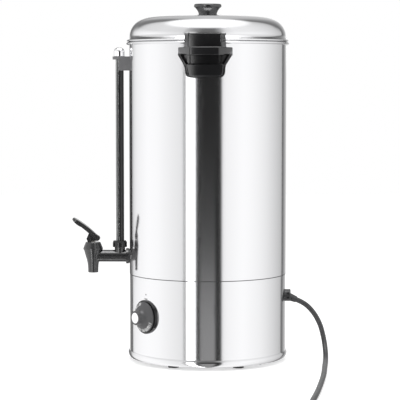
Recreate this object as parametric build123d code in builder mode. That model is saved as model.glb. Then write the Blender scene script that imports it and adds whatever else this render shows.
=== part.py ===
from build123d import *
from math import atan2, cos, degrees, pi, radians, sin, sqrt, tan
import os

# Hot water urn of about 20 litres, with a lift-off lid, a lever tap, a level
# gauge, a thermostat dial and a mains cord.
#
# Frame: millimetres, +Z up, origin on the urn's axis at table level.
# The tap faces -Y, the two handles are at +X and -X, the cord leaves at +Y.

os.makedirs("parts", exist_ok=True)

# ---------------------------------------------------------------- sizes
# Tank: a welded cylinder with a rolled rim; its skirt laps over the base.
tank_r = 130.8
sheet = 1.0
seam_z = 146.0
tank_top = 531.4
rim_half_width = 2.85
rim_half_height = 2.45
floor_z = 152.0
floor_flange = 5.0
floor_bend = 3.0

# Base shell, ring, bottom plate and feet.
base_set_in = 0.5
lap_clearance = 0.1
lap_height = 5.0
lap_joggle = 1.0
foot_drop = 6.0
foot_r = 9.0
foot_inset = 24.3
foot_count = 6
foot_bore_depth = 4.0
foot_taper = 3.0
ring_ledge = 3.0
ring_height = 11.0
ring_bulge = 2.3
ring_width = 8.3
ring_swell = 0.45
base_screw_length = 12.0
foot_screw_length = 12.0
plate_clearance = 0.3
vent_count = 12
vent_r_in = 48.0
vent_r_out = 84.0
vent_width = 5.0

# Lid: dome, rolled edge, locating ring and knob.
lid_gap = 0.5
lid_edge_half_width = 2.0
lid_edge_half_height = 1.65
lid_edge_set_in = 0.8
lid_edge_lap = 0.4
lid_shoulder_in = 2.0
lid_shoulder_rise = 26.9
lid_crown_in = 28.2
lid_crown_rise = 38.4
lid_rise = 43.6
lid_shoulder_bend = 30.0
lid_crown_bend = 50.0
lid_seat_bend = 60.0
locate_clearance = 0.8
locate_depth = 9.0
knob_seat = 2.0
knob_base_r = 14.8
knob_waist = 0.28
knob_top_r = 22.75
knob_height = 17.2
knob_flange = 5.0
knob_bend = 2.5
knob_bore_depth = 12.0
bore_spare = 1.0

# Handles: a guard block over a gripping shelf over a bowl.
handle_low = 472.0
bowl_top = 494.0
shelf_low = 508.3
shelf_top = 520.8
block_top = 542.8
shelf_out = 44.2
shelf_overhang = 11.5
shelf_face_half = 23.5
bowl_half = 32.5
bowl_bend = 10.0
bowl_rim = 3.0
bowl_shoulder_bend = 6.0
bowl_draft = 1.0
bowl_lap = 3.0
handle_wall = 3.5
back_out = 11.2
pad_out = 17.2
pad_lap = 4.0
web_out = 20.2
web_width = 5.0
bowl_out = 23.2
block_clearance = 1.0
block_depth = 16.5
block_root_half = 34.0
block_face_half = 27.0
block_draft = 0.8
block_edge_bend = 1.0
shelf_corner_bend = 2.5
shelf_lap = 2.0
handle_root = 8.0
handle_thread = 9.0
handle_grip = 8.0

# Tap. The nozzle hangs tap_out in front of the tank's wall.
tap_out = 62.0
barrel_z = 173.3
barrel_r = 10.0
barrel_bore_r = 6.0
nozzle_low = 145.4
nozzle_r = 8.4
nozzle_neck_r = 9.3
nozzle_neck_rise = 14.7
nozzle_low_lean = 0.05
nozzle_top_lean = 0.2
valve_r = 15.2
valve_top = 183.5
outlet_r = 5.5
outlet_depth = 12.6
seat_r = 4.6
seat_z = 163.0
chamber_low_r = 7.4
chamber_top_r = 12.6
flange_r = 13.0
flange_thickness = 4.0
seal_thickness = 2.0
thread_r = 8.0
thread_fit = 0.1
thread_length = 18.0
nut_width = 24.0
nut_thickness = 6.0
bonnet_r = 16.4
bonnet_ridge = 2.5
bonnet_top_r = 12.6
bonnet_top = 196.5
bonnet_wall = 3.6
bonnet_foot_edge = 0.6
bonnet_top_edge = 0.8
spring_chamber_r = 8.0
stem_r = 3.7
stem_fit = 0.05
stem_root_r = 2.2
stem_slot_shift = 0.5
stem_slot_length = 1.3
stem_shoulder_z = 197.0
stem_top = 206.8
tongue_half = 1.9
cup_foot_r = 5.6
cup_r = 8.6
cup_height = 9.0
cup_lip = 3.0
cup_socket = 4.5
spring_r = 5.6
spring_wire = 1.1
spring_pitch = 3.2

# Lever: hinged on a pin in the bonnet's ears, linked to the stem.
pin_out = 6.5
pin_z = 203.0
pin_r = 1.6
link_r = 1.25
link_clearance = 0.2
hinge_fit = 0.05
pin_boring = 20.0
lever_tilt = 40.0
lever_thick = 6.2
lever_lift = 9.4
lever_length = 42.5
lever_tail = 8.0
lever_belly = 0.6
lever_crown = 1.6
lever_nose_bend = 1.8
lever_root_half = 4.8
lever_waist = 0.45
lever_waist_half = 6.9
lever_tip_half = 7.5
fork_slot_half = 2.3
fork_slot_top = 6.5
lobe_in = 13.7
lobe_rise = 0.0
lobe_r = 4.5
boss_r = 3.5
heel_in = 2.4
heel_rise = 9.0
heel_r = 2.4
ear_gap = 0.4
ear_thick = 2.5
ear_front = 4.2
ear_back = 4.4
ear_foot = 1.2
ear_crest = 5.4
ear_crest_in = 0.2
ear_shoulder = 2.4
ear_bend = 1.2
pad_start = 21.5
pad_length = 17.0
pad_half = 5.4
dish_depth = 1.0
dish_taper = 30.0

# Level gauge: a glass tube with a guard behind it, on a tee of the tap.
gauge_out = 16.9
tee_r = 8.8
tee_top = 190.5
glass_r = 6.2
glass_bore_r = 4.4
glass_fit = 0.15
glass_low = 181.0
glass_top = 514.0
channel_r = 3.5
gland_r = 12.0
gland_low = 188.5
gland_top = 199.4
gland_chamfer = 1.6
gauge_seal_height = 3.5
guard_r = 7.3
guard_inner_r = 6.45
bracket_low = 484.0
bracket_top = 507.4
bracket_half = 10.0
bracket_screw_inset = 6.0
bracket_root = 2.0
bracket_thread = 7.0
bracket_grip = 6.0
lip_r = 11.2
lip_thickness = 5.0
cap_r = 9.0
cap_height = 15.1
cap_straight = 7.5
cap_foot_bend = 0.6
cap_bore_depth = 9.0

# Dial and thermostat, turned away from the tap about the urn's axis.
dial_angle = -49.0
dial_z = 81.7
dial_r = 24.8
dial_clearance = 1.0
dial_rim = 2.2
dial_rim_edge = 0.5
dial_cone_height = 6.0
hub_r = 11.6
hub_edge = 0.8
hub_straight = 6.0
hub_foot_r = 14.0
hub_flare = 0.25
hub_reach = 22.6
hub_disc_r = 8.7
hub_disc_depth = 1.0
dial_bore_depth = 14.0
bezel_r = 27.8
bezel_inner_r = 20.5
bezel_proud = 2.0
bezel_root = 1.0
shaft_r = 3.0
shaft_fit = 0.05
shaft_end_play = 1.0
bush_r = 4.9
bush_fit = 0.1
thermostat_width = 34.0
thermostat_height = 40.0
thermostat_depth = 22.0
thermostat_corner = 3.0
thermostat_screw_x = 14.0
thermostat_screw_bore = 8.0
thermostat_screw_depth = 7.0
thermostat_head_height = 1.4
thermostat_head_overlap = 1.0

# Heating plate, element and cut-out.
heater_r = 75.0
heater_thickness = 5.0
element_r = 4.2
element_circle_r = 55.0
element_arc = 300.0
element_leg = 8.0
element_pin_r = 2.0
element_pin_length = 10.0
bulb_r = 3.0
bulb_length = 60.0
bulb_inset = 38.3
capillary_r = 0.9
capillary_bend = 8.0
capillary_tight_bend = 5.0
capillary_rise = 22.0
capillary_loop = 16.0
capillary_lead = 12.0
capillary_shift = 8.0
clip_wall = 1.0
clip_length = 6.0
clip_shares = (0.25, 0.75)
cutout_x = -40.0
cutout_y = 58.0
cutout_width = 30.0
cutout_depth = 24.0
cutout_height = 32.0
cutout_corner = 2.0
cutout_bore_share = 0.6
cutout_lead = 60.0
button_r = 4.0
button_fit = 0.1
button_head_r = 6.0
button_proud = 2.5
button_travel = 2.0
button_spare = 0.5
button_end_play = 1.0
sensor_r = 8.0
sensor_height = 6.0

# Terminal block and earth stud.
terminal_x = 30.0
terminal_y = 60.0
terminal_width = 44.0
terminal_length = 20.0
terminal_height = 18.0
terminal_corner = 1.5
terminal_columns = 3
terminal_rows = 2
terminal_bore_r = 2.2
terminal_bore_depth = 6.0
terminal_screw_r = 2.0
terminal_screw_height = 4.0
earth_x = 0.0
earth_y = 30.0
earth_length = 22.0
earth_nut_gap = 5.0
earth_nut_grip = 0.05

# Small fasteners: nominal radius, head radius and head height; nuts: width and thickness.
m3 = (1.5, 2.8, 1.8)
m4 = (2.0, 3.8, 2.2)
m5 = (2.5, 4.8, 2.8)
m3_nut = (5.5, 2.4)
m4_nut = (7.0, 3.2)
screw_crown = 0.45
hole_clearance = 0.2
washer_thickness = 1.5
washer_overhang = 1.4

# Cord gland, cord, coil and plug.
gland_z = 108.0
gland_collar_r = 10.0
gland_collar_length = 9.0
gland_collar_bend = 1.4
gland_root = 4.0
gland_window = (4.4, 11.0)
gland_window_depth = 2.6
gland_window_bend = 1.8
gland_nut_thickness = 4.0
gland_neck_r = 8.0
gland_neck_fit = 0.1
gland_neck_length = 8.0
gland_neck_overlap = 0.5
boot_droop = 22.0
boot_root_r = 7.2
boot_tip_r = 5.2
boot_length = 20.0
cord_r = 4.2
coil_mean_diameters = 10.5
coil_turns_wide = 2
coil_turns_high = 2
coil_edge_share = 0.8
tail_runs = (6.0, 30.0, 54.0, 78.0)
tail_rises = (0.0, 0.6, 4.6)
plug_r = 18.5
plug_length = 34.0
plug_neck_r = 9.0
plug_neck_share = 0.75
plug_neck_inset = 4.0
plug_shoulder = (12.0, 5.0)
plug_straight_share = 0.55
plug_face_bend = 1.5
plug_lean = 0.1
relief_r = 5.4
relief_length = 32.0
plug_pin_r = 2.4
plug_pin_length = 19.0
plug_pin_half_spacing = 9.5

# ------------------------------------------------------- derived places
tank_in_r = tank_r - sheet
base_r = tank_r - base_set_in
base_in_r = base_r - sheet
ring_inner_r = base_r - ring_width
ring_screw_r = (ring_inner_r + base_in_r) / 2
foot_circle_r = base_r - foot_inset
bulb_chord = base_r - bulb_inset
shelf_reach = tank_r + shelf_out
back_r = tank_r + back_out
pad_r = tank_r + pad_out
web_r = tank_r + web_out
bowl_r = tank_r + bowl_out
tap_reach = tank_r + tap_out
gauge_reach = tank_r + gauge_out
plate_z = foot_drop + ring_ledge
tall = 2 * tank_top
dial_dir = Vector(cos(radians(dial_angle)), sin(radians(dial_angle)), 0)
dial_side = Vector(-sin(radians(dial_angle)), cos(radians(dial_angle)), 0)


def export(piece, name):
    """Label a finished sub-part and write its STEP file."""
    piece.part.label = name
    export_step(piece.part, "parts/" + name + ".step")


def chord_depth(radius, half_width):
    """Distance from a cylinder's axis to a flat that just touches inside it."""
    return sqrt(radius**2 - half_width**2)


def screw_form(size, length):
    """A round-headed screw: head above the origin, shank below it."""
    shank_r, head_r, head_h = size
    with BuildPart() as form:
        with BuildSketch(Plane.XZ):
            with BuildLine():
                Line((0, head_h), (screw_crown * head_r, head_h))
                RadiusArc((screw_crown * head_r, head_h), (head_r, 0), head_r)
                Polyline((head_r, 0), (shank_r, 0), (shank_r, -length), (0, -length), (0, head_h))
            make_face()
        revolve(axis=Axis.Z)
    return form.part


def hex_nut(size, bore_r):
    """A hexagon nut standing on the origin."""
    width, thickness = size
    with BuildPart() as form:
        with BuildSketch():
            RegularPolygon(width / 2, 6, major_radius=False)
            Circle(bore_r, mode=Mode.SUBTRACT)
        extrude(amount=thickness)
    return form.part


def wall_form(outline, bends, outer_r):
    """A solid with a front outline in Y and Z, from the tank wall out to a radius."""
    with BuildPart() as form:
        with BuildSketch(Plane.YZ):
            with BuildLine():
                FilletPolyline(*outline, radius=bends, close=True)
            make_face()
        extrude(amount=2 * outer_r)
        with BuildSketch():
            Circle(outer_r)
        extrude(amount=tall, mode=Mode.INTERSECT)
        with BuildSketch():
            Circle(tank_r)
        extrude(amount=tall, mode=Mode.SUBTRACT)
    return form.part


def arc_through(radius, half_width):
    """Three points of an arc about the urn's axis, symmetric about +X."""
    x = chord_depth(radius, half_width)
    return (x, -half_width), (radius, 0), (x, half_width)


# ---------------------------------------------------------------- tank
rim_r = tank_in_r + rim_half_width
handle_screw_z = (0.5 * (handle_low + bowl_top), 0.5 * (shelf_low + shelf_top))
bracket_screw_z = (bracket_low + bracket_screw_inset, bracket_top - bracket_screw_inset)

with BuildPart() as tank_shell:
    with BuildSketch(Plane.XZ):
        with Locations((tank_in_r + sheet / 2, (seam_z + tank_top - rim_half_height) / 2)):
            Rectangle(sheet, tank_top - rim_half_height - seam_z)
        with Locations((rim_r, tank_top - rim_half_height)):
            Ellipse(rim_half_width, rim_half_height)
    revolve(axis=Axis.Z)
    with BuildSketch(Plane.YZ):
        for z in handle_screw_z:
            with Locations((0, z)):
                Circle(m5[0] + hole_clearance)
    extrude(amount=tank_r, both=True, mode=Mode.SUBTRACT)
    with BuildSketch(Plane.XZ):
        with Locations((0, barrel_z)):
            Circle(thread_r + thread_fit)
        for z in bracket_screw_z:
            with Locations((0, z)):
                Circle(m3[0] + hole_clearance)
    extrude(amount=tank_r, mode=Mode.SUBTRACT)
export(tank_shell, "tank_shell")

# The pressed floor is welded in by its upturned flange.
with BuildPart() as tank_floor:
    with BuildSketch(Plane.XZ):
        with BuildLine():
            FilletPolyline(
                (0, floor_z), (tank_in_r, floor_z), (tank_in_r, floor_z + floor_flange), radius=floor_bend
            )
            offset(amount=sheet, side=Side.LEFT)
        make_face()
    revolve(axis=Axis.Z)
export(tank_floor, "tank_floor")

# ---------------------------------------------------------------- base
lap_r = tank_in_r - lap_clearance
lap_top = seam_z + lap_height

with BuildPart() as base_shell:
    with BuildSketch(Plane.XZ):
        with BuildLine():
            Polyline(
                (base_r, plate_z),
                (base_r, seam_z - lap_joggle - lap_clearance),
                (lap_r, seam_z - lap_clearance),
                (lap_r, lap_top),
                (lap_r - sheet, lap_top),
                (lap_r - sheet, seam_z - lap_clearance),
                (base_in_r, seam_z - lap_joggle - lap_clearance),
                (base_in_r, plate_z),
                close=True,
            )
        make_face()
    revolve(axis=Axis.Z)
    with BuildSketch(Plane(origin=(0, 0, dial_z), x_dir=dial_side, z_dir=dial_dir)):
        Circle(bush_r + bush_fit)
        with Locations((thermostat_screw_x, 0), (-thermostat_screw_x, 0)):
            Circle(m4[0] + hole_clearance)
    extrude(amount=2 * base_r, mode=Mode.SUBTRACT)
    with BuildSketch(Plane.XZ):
        with Locations((0, gland_z)):
            Circle(gland_neck_r + gland_neck_fit)
    extrude(amount=-2 * base_r, mode=Mode.SUBTRACT)
export(base_shell, "base_shell")

ring_top = foot_drop + ring_height
with BuildPart() as base_ring:
    with BuildSketch(Plane.XZ):
        with BuildLine():
            Polyline(
                (base_r, ring_top),
                (base_r, plate_z),
                (ring_inner_r, plate_z),
                (ring_inner_r, foot_drop),
                (base_r, foot_drop),
            )
            ThreePointArc(
                (base_r, foot_drop),
                (base_r + ring_bulge, foot_drop + ring_swell * ring_height),
                (base_r + 0.5 * ring_bulge, ring_top),
            )
            Line((base_r + 0.5 * ring_bulge, ring_top), (base_r, ring_top))
        make_face()
    revolve(axis=Axis.Z)
    with BuildSketch(Plane.XY.offset(foot_drop)):
        with PolarLocations(ring_screw_r, 4, start_angle=45):
            Circle(m3[0] + hole_clearance)
    extrude(amount=ring_ledge, mode=Mode.SUBTRACT)
export(base_ring, "base_ring")

button_place = (cutout_x, cutout_y)
with BuildPart() as bottom_plate:
    with BuildSketch(Plane.XY.offset(plate_z)):
        Circle(base_in_r - plate_clearance)
        with PolarLocations((vent_r_in + vent_r_out) / 2, vent_count, start_angle=180 / vent_count):
            SlotOverall(vent_r_out - vent_r_in, vent_width, mode=Mode.SUBTRACT)
        with PolarLocations(foot_circle_r, foot_count, start_angle=180 / foot_count):
            Circle(m4[0] + hole_clearance, mode=Mode.SUBTRACT)
        with PolarLocations(ring_screw_r, 4, start_angle=45):
            Circle(m3[0] + hole_clearance, mode=Mode.SUBTRACT)
        with Locations(button_place):
            Circle(button_head_r + 3 * hole_clearance, mode=Mode.SUBTRACT)
        with Locations((earth_x, earth_y)):
            Circle(m4[0] + hole_clearance, mode=Mode.SUBTRACT)
    extrude(amount=sheet)
export(bottom_plate, "bottom_plate")

with BuildPart() as base_screws:
    with PolarLocations(ring_screw_r, 4, start_angle=45):
        with Locations(Location((0, 0, foot_drop), (180, 0, 0))):
            add(screw_form(m3, base_screw_length))
export(base_screws, "base_screws")

with BuildPart() as base_nuts:
    with PolarLocations(ring_screw_r, 4, start_angle=45):
        with Locations((0, 0, plate_z + sheet)):
            add(hex_nut(m3_nut, m3[0]))
export(base_nuts, "base_nuts")

with BuildPart() as feet:
    with BuildSketch():
        with PolarLocations(foot_circle_r, foot_count, start_angle=180 / foot_count):
            Circle(foot_r)
    extrude(amount=plate_z, taper=foot_taper)
    with BuildSketch():
        with PolarLocations(foot_circle_r, foot_count, start_angle=180 / foot_count):
            Circle(m4[0] + hole_clearance)
    extrude(amount=plate_z, mode=Mode.SUBTRACT)
    with BuildSketch():
        with PolarLocations(foot_circle_r, foot_count, start_angle=180 / foot_count):
            Circle(m4[1] + 2 * hole_clearance)
    extrude(amount=foot_bore_depth, mode=Mode.SUBTRACT)
export(feet, "feet")

with BuildPart() as foot_screws:
    with PolarLocations(foot_circle_r, foot_count, start_angle=180 / foot_count):
        with Locations(Location((0, 0, foot_bore_depth), (180, 0, 0))):
            add(screw_form(m4, foot_screw_length))
export(foot_screws, "foot_screws")

with BuildPart() as foot_nuts:
    with PolarLocations(foot_circle_r, foot_count, start_angle=180 / foot_count):
        with Locations((0, 0, plate_z + sheet)):
            add(hex_nut(m4_nut, m4[0]))
export(foot_nuts, "foot_nuts")

# ---------------------------------------------------------------- lid
lid_foot_z = tank_top + lid_gap + lid_edge_half_height
lid_top = lid_foot_z + lid_rise
lid_edge_centre = rim_r + rim_half_width - lid_edge_half_width - lid_edge_set_in


def lid_profile(inset):
    """Area under the dome's curve, set in by a distance, down to the lid's foot."""
    foot_r_now = lid_edge_centre - lid_edge_half_width + lid_edge_lap - inset
    with BuildSketch(Plane.XZ) as area:
        with BuildLine():
            FilletPolyline(
                (foot_r_now, lid_foot_z),
                (tank_r - lid_shoulder_in - inset, lid_foot_z + lid_shoulder_rise - 0.5 * inset),
                (tank_r - lid_crown_in - 0.25 * inset, lid_foot_z + lid_crown_rise - inset),
                (knob_base_r + knob_seat, lid_top - inset),
                (0, lid_top - inset),
                radius=(lid_shoulder_bend - inset, lid_crown_bend, lid_seat_bend),
            )
            Polyline((0, lid_top - inset), (0, lid_foot_z), (foot_r_now, lid_foot_z))
        make_face()
    return area.sketch


with BuildPart() as lid_shell:
    add(lid_profile(0))
    with BuildSketch(Plane.XZ):
        with Locations((lid_edge_centre, lid_foot_z)):
            Ellipse(lid_edge_half_width, lid_edge_half_height)
    revolve(axis=Axis.Z)
    add(lid_profile(sheet))
    revolve(axis=Axis.Z, mode=Mode.SUBTRACT)
    with BuildSketch(Plane.XY.offset(lid_foot_z)):
        Circle(m5[0] + hole_clearance)
    extrude(amount=lid_rise, mode=Mode.SUBTRACT)
export(lid_shell, "lid_shell")

# The locating ring is spot-welded under the dome and drops into the tank.
locate_r = tank_in_r - locate_clearance
with BuildPart() as lid_locating_ring:
    add(lid_profile(sheet))
    revolve(axis=Axis.Z)
    with BuildSketch(Plane.XY.offset(tank_top - locate_depth)):
        Circle(locate_r)
    extrude(amount=lid_foot_z - tank_top + locate_depth)
    with BuildSketch(Plane.XY.offset(tank_top - locate_depth)):
        Circle(locate_r)
    extrude(amount=lid_rise + locate_depth, mode=Mode.INTERSECT)
    with BuildSketch(Plane.XY.offset(tank_top - locate_depth)):
        Circle(locate_r - sheet)
    extrude(amount=lid_rise + 2 * locate_depth, mode=Mode.SUBTRACT)
export(lid_locating_ring, "lid_locating_ring")

knob_top = lid_top + knob_height
knob_waist_r = knob_base_r + knob_waist * (knob_top_r - knob_base_r)
with BuildPart() as lid_knob:
    with BuildSketch(Plane.XZ):
        with BuildLine():
            Line((0, lid_top), (knob_base_r, lid_top))
            ThreePointArc(
                (knob_base_r, lid_top),
                (knob_waist_r, lid_top + (knob_height - knob_flange) / 2),
                (knob_top_r, knob_top - knob_flange),
            )
            FilletPolyline(
                (knob_top_r, knob_top - knob_flange), (knob_top_r, knob_top), (0, knob_top), radius=knob_bend
            )
            Line((0, knob_top), (0, lid_top))
        make_face()
    revolve(axis=Axis.Z)
    with BuildSketch(Plane.XY.offset(lid_top)):
        Circle(m5[0])
    extrude(amount=knob_bore_depth, mode=Mode.SUBTRACT)
export(lid_knob, "lid_knob")

washer_z = lid_top - sheet - washer_thickness
with BuildPart() as lid_knob_washer:
    with BuildSketch(Plane.XY.offset(washer_z)):
        Circle(m5[1] + 2 * washer_overhang)
        Circle(m5[0] + hole_clearance, mode=Mode.SUBTRACT)
    extrude(amount=washer_thickness)
export(lid_knob_washer, "lid_knob_washer")

with BuildPart() as lid_knob_screw:
    with Locations(Location((0, 0, washer_z), (180, 0, 0))):
        add(screw_form(m5, washer_thickness + sheet + knob_bore_depth - bore_spare))
export(lid_knob_screw, "lid_knob_screw")

# ------------------------------------------------------------- handles
block_in_r = rim_r + rim_half_width + block_clearance
block_out_r = block_in_r + block_depth
shelf_root_half = bowl_half + shelf_overhang
shelf_end = shelf_root_half - bowl_draft
bowl_mouth = bowl_top - bowl_lap
bowl_outline = [
    (-shelf_end, shelf_low + shelf_lap),
    (-shelf_end, shelf_low),
    (-bowl_half, bowl_mouth),
    (-bowl_half + bowl_draft, handle_low),
    (bowl_half - bowl_draft, handle_low),
    (bowl_half, bowl_mouth),
    (shelf_end, shelf_low),
    (shelf_end, shelf_low + shelf_lap),
]
bowl_bends = [0, bowl_shoulder_bend, bowl_bend, bowl_bend, bowl_bend, bowl_bend, bowl_shoulder_bend, 0]
face_half = bowl_half - bowl_rim
bowl_face = [
    (-face_half, bowl_top),
    (-face_half + bowl_draft, handle_low + bowl_rim),
    (face_half - bowl_draft, handle_low + bowl_rim),
    (face_half, bowl_top),
]
bowl_face_bends = [bowl_rim / 2, bowl_bend - bowl_rim, bowl_bend - bowl_rim, bowl_rim / 2]
pad_outline = [
    (-shelf_face_half, bowl_mouth),
    (shelf_face_half, bowl_mouth),
    (shelf_face_half, shelf_low + pad_lap),
    (-shelf_face_half, shelf_low + pad_lap),
]


def web_outline(side):
    """The slanted web between the shelf's end and the bowl, on one side."""
    return [
        (side * shelf_end, shelf_low + shelf_lap),
        (side * shelf_end, shelf_low),
        (side * bowl_half, bowl_mouth),
        (side * (bowl_half - web_width), bowl_mouth),
        (side * (shelf_end - web_width), shelf_low),
        (side * (shelf_end - web_width), shelf_low + shelf_lap),
    ]


with BuildPart() as guard_block:
    for level, inset in ((shelf_top - handle_wall, 0), (block_top, block_draft)):
        with BuildSketch(Plane.XY.offset(level)):
            with BuildLine():
                inner = ThreePointArc(*arc_through(block_in_r, block_root_half - inset))
                outer = ThreePointArc(*arc_through(block_out_r - inset, block_face_half - inset))
                Line(inner @ 1, outer @ 1)
                Line(inner @ 0, outer @ 0)
            make_face()
    loft()
    fillet(guard_block.faces().sort_by(Axis.Z)[-1].edges(), radius=block_edge_bend)

with BuildPart() as handle_right:
    with BuildSketch(Plane.XY.offset(shelf_low)) as shelf_plan:
        with BuildLine():
            front = ThreePointArc(*arc_through(shelf_reach, shelf_face_half))
            Polyline(
                front @ 1,
                (tank_r - handle_root, shelf_root_half),
                (tank_r - handle_root, -shelf_root_half),
                front @ 0,
            )
        make_face()
        fillet(shelf_plan.vertices().sort_by(Axis.X)[-2:], radius=shelf_corner_bend)
    extrude(amount=shelf_top - shelf_low)
    with BuildSketch(Plane.XY.offset(shelf_low)):
        add(shelf_plan.sketch.faces())
        offset(amount=-handle_wall)
    extrude(amount=shelf_top - shelf_low - handle_wall, mode=Mode.SUBTRACT)
    add(wall_form(bowl_outline, bowl_bends, back_r))
    add(wall_form(bowl_face, bowl_face_bends, bowl_r))
    add(wall_form(pad_outline, 0, pad_r))
    for side in (-1, 1):
        add(wall_form(web_outline(side), 0, web_r))
    add(guard_block.part)
    with BuildSketch():
        Circle(tank_r)
    extrude(amount=tall, mode=Mode.SUBTRACT)
    with BuildSketch(Plane.YZ.offset(tank_r - handle_root)):
        for z in handle_screw_z:
            with Locations((0, z)):
                Circle(m5[0])
    extrude(amount=handle_root + handle_thread, mode=Mode.SUBTRACT)
export(handle_right, "handle_right")

with BuildPart() as handle_left:
    add(handle_right.part, rotation=(0, 0, 180))
export(handle_left, "handle_left")

seal_out_r = m5[1] + washer_overhang
seal_face = chord_depth(tank_in_r, seal_out_r)
bracket_seal_r = m3[1] + washer_overhang
bracket_seal_face = chord_depth(tank_in_r, bracket_seal_r)
with BuildPart() as seal_washers:
    for side in (-1, 1):
        for z in handle_screw_z:
            with BuildSketch(Plane(origin=(side * seal_face, 0, z), z_dir=(-side, 0, 0))):
                Circle(seal_out_r)
                Circle(m5[0] + hole_clearance, mode=Mode.SUBTRACT)
            extrude(amount=washer_thickness)
    for z in bracket_screw_z:
        with BuildSketch(Plane.XZ.offset(bracket_seal_face - washer_thickness)):
            with Locations((0, z)):
                Circle(bracket_seal_r)
                Circle(m3[0] + hole_clearance, mode=Mode.SUBTRACT)
        extrude(amount=washer_thickness)
export(seal_washers, "seal_washers")

with BuildPart() as handle_screws:
    for side in (-1, 1):
        for z in handle_screw_z:
            with Locations(Location((side * (seal_face - washer_thickness), 0, z), (0, -90 * side, 0))):
                add(screw_form(m5, tank_r + handle_grip - seal_face + washer_thickness))
export(handle_screws, "handle_screws")


# ----------------------------------------------------------------- tap
nozzle_axis = Axis((0, -tap_reach, 0), (0, 0, 1))
nozzle_plane = Plane.XZ.offset(tap_reach)
barrel_start = tank_r + seal_thickness
thread_end = tank_in_r - thread_length

with BuildPart() as tap_body:
    with BuildSketch(nozzle_plane):
        with BuildLine():
            outer = Spline(
                (nozzle_r, nozzle_low),
                (nozzle_neck_r, nozzle_low + nozzle_neck_rise),
                (valve_r, valve_top),
                tangents=((nozzle_low_lean, 1), (nozzle_top_lean, 1)),
            )
            Polyline(outer @ 1, (0, valve_top), (0, nozzle_low), outer @ 0)
        make_face()
    revolve(axis=nozzle_axis)
    with BuildSketch(Plane.XZ.offset(barrel_start)):
        with Locations((0, barrel_z)):
            Circle(flange_r)
    extrude(amount=flange_thickness)
    with BuildSketch(Plane.XZ.offset(thread_end)):
        with Locations((0, barrel_z)):
            Circle(thread_r)
    extrude(amount=barrel_start - thread_end)
    with BuildSketch(Plane.XZ.offset(barrel_start)):
        with Locations((0, barrel_z)):
            Circle(barrel_r)
    extrude(amount=tap_reach - barrel_start)
    with BuildSketch(Plane.XY.offset(barrel_z)):
        with Locations((0, -gauge_reach)):
            Circle(tee_r)
    extrude(amount=tee_top - barrel_z)
    with BuildSketch(nozzle_plane):
        with BuildLine():
            Polyline(
                (0, valve_top),
                (chamber_top_r, valve_top),
                (chamber_low_r, seat_z),
                (seat_r, seat_z),
                (seat_r, nozzle_low + outlet_depth),
                (outlet_r, nozzle_low + outlet_depth),
                (outlet_r, nozzle_low),
                (0, nozzle_low),
                close=True,
            )
        make_face()
    revolve(axis=nozzle_axis, mode=Mode.SUBTRACT)
    with BuildSketch(Plane.XZ.offset(thread_end)):
        with Locations((0, barrel_z)):
            Circle(barrel_bore_r)
    extrude(amount=tap_reach - thread_end, mode=Mode.SUBTRACT)
    with BuildSketch(Plane.XY.offset(barrel_z)):
        with Locations((0, -gauge_reach)):
            Circle(channel_r)
    extrude(amount=tee_top - barrel_z, mode=Mode.SUBTRACT)
    with BuildSketch(Plane.XY.offset(glass_low)):
        with Locations((0, -gauge_reach)):
            Circle(glass_r + glass_fit)
    extrude(amount=tee_top - glass_low, mode=Mode.SUBTRACT)
export(tap_body, "tap_body")

with BuildPart() as tap_wall_seal:
    with BuildSketch(Plane.XZ.offset(tank_r - 2 * seal_thickness)):
        with Locations((0, barrel_z)):
            Circle(flange_r - 0.5 * seal_thickness)
            Circle(thread_r + thread_fit, mode=Mode.SUBTRACT)
    extrude(amount=3 * seal_thickness)
    with BuildSketch():
        Circle(tank_r)
    extrude(amount=tall, mode=Mode.SUBTRACT)
export(tap_wall_seal, "tap_wall_seal")

inner_seal_r = nut_width / 2
inner_seal_face = chord_depth(tank_in_r, inner_seal_r)
with BuildPart() as tap_inner_seal:
    with BuildSketch(Plane.XZ.offset(inner_seal_face - seal_thickness)):
        with Locations((0, barrel_z)):
            Circle(inner_seal_r)
            Circle(thread_r + thread_fit, mode=Mode.SUBTRACT)
    extrude(amount=seal_thickness)
export(tap_inner_seal, "tap_inner_seal")

with BuildPart() as tap_lock_nut:
    with Locations(Location((0, -inner_seal_face + seal_thickness, barrel_z), (-90, 0, 0))):
        add(hex_nut((nut_width, nut_thickness), thread_r))
export(tap_lock_nut, "tap_lock_nut")

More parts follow.
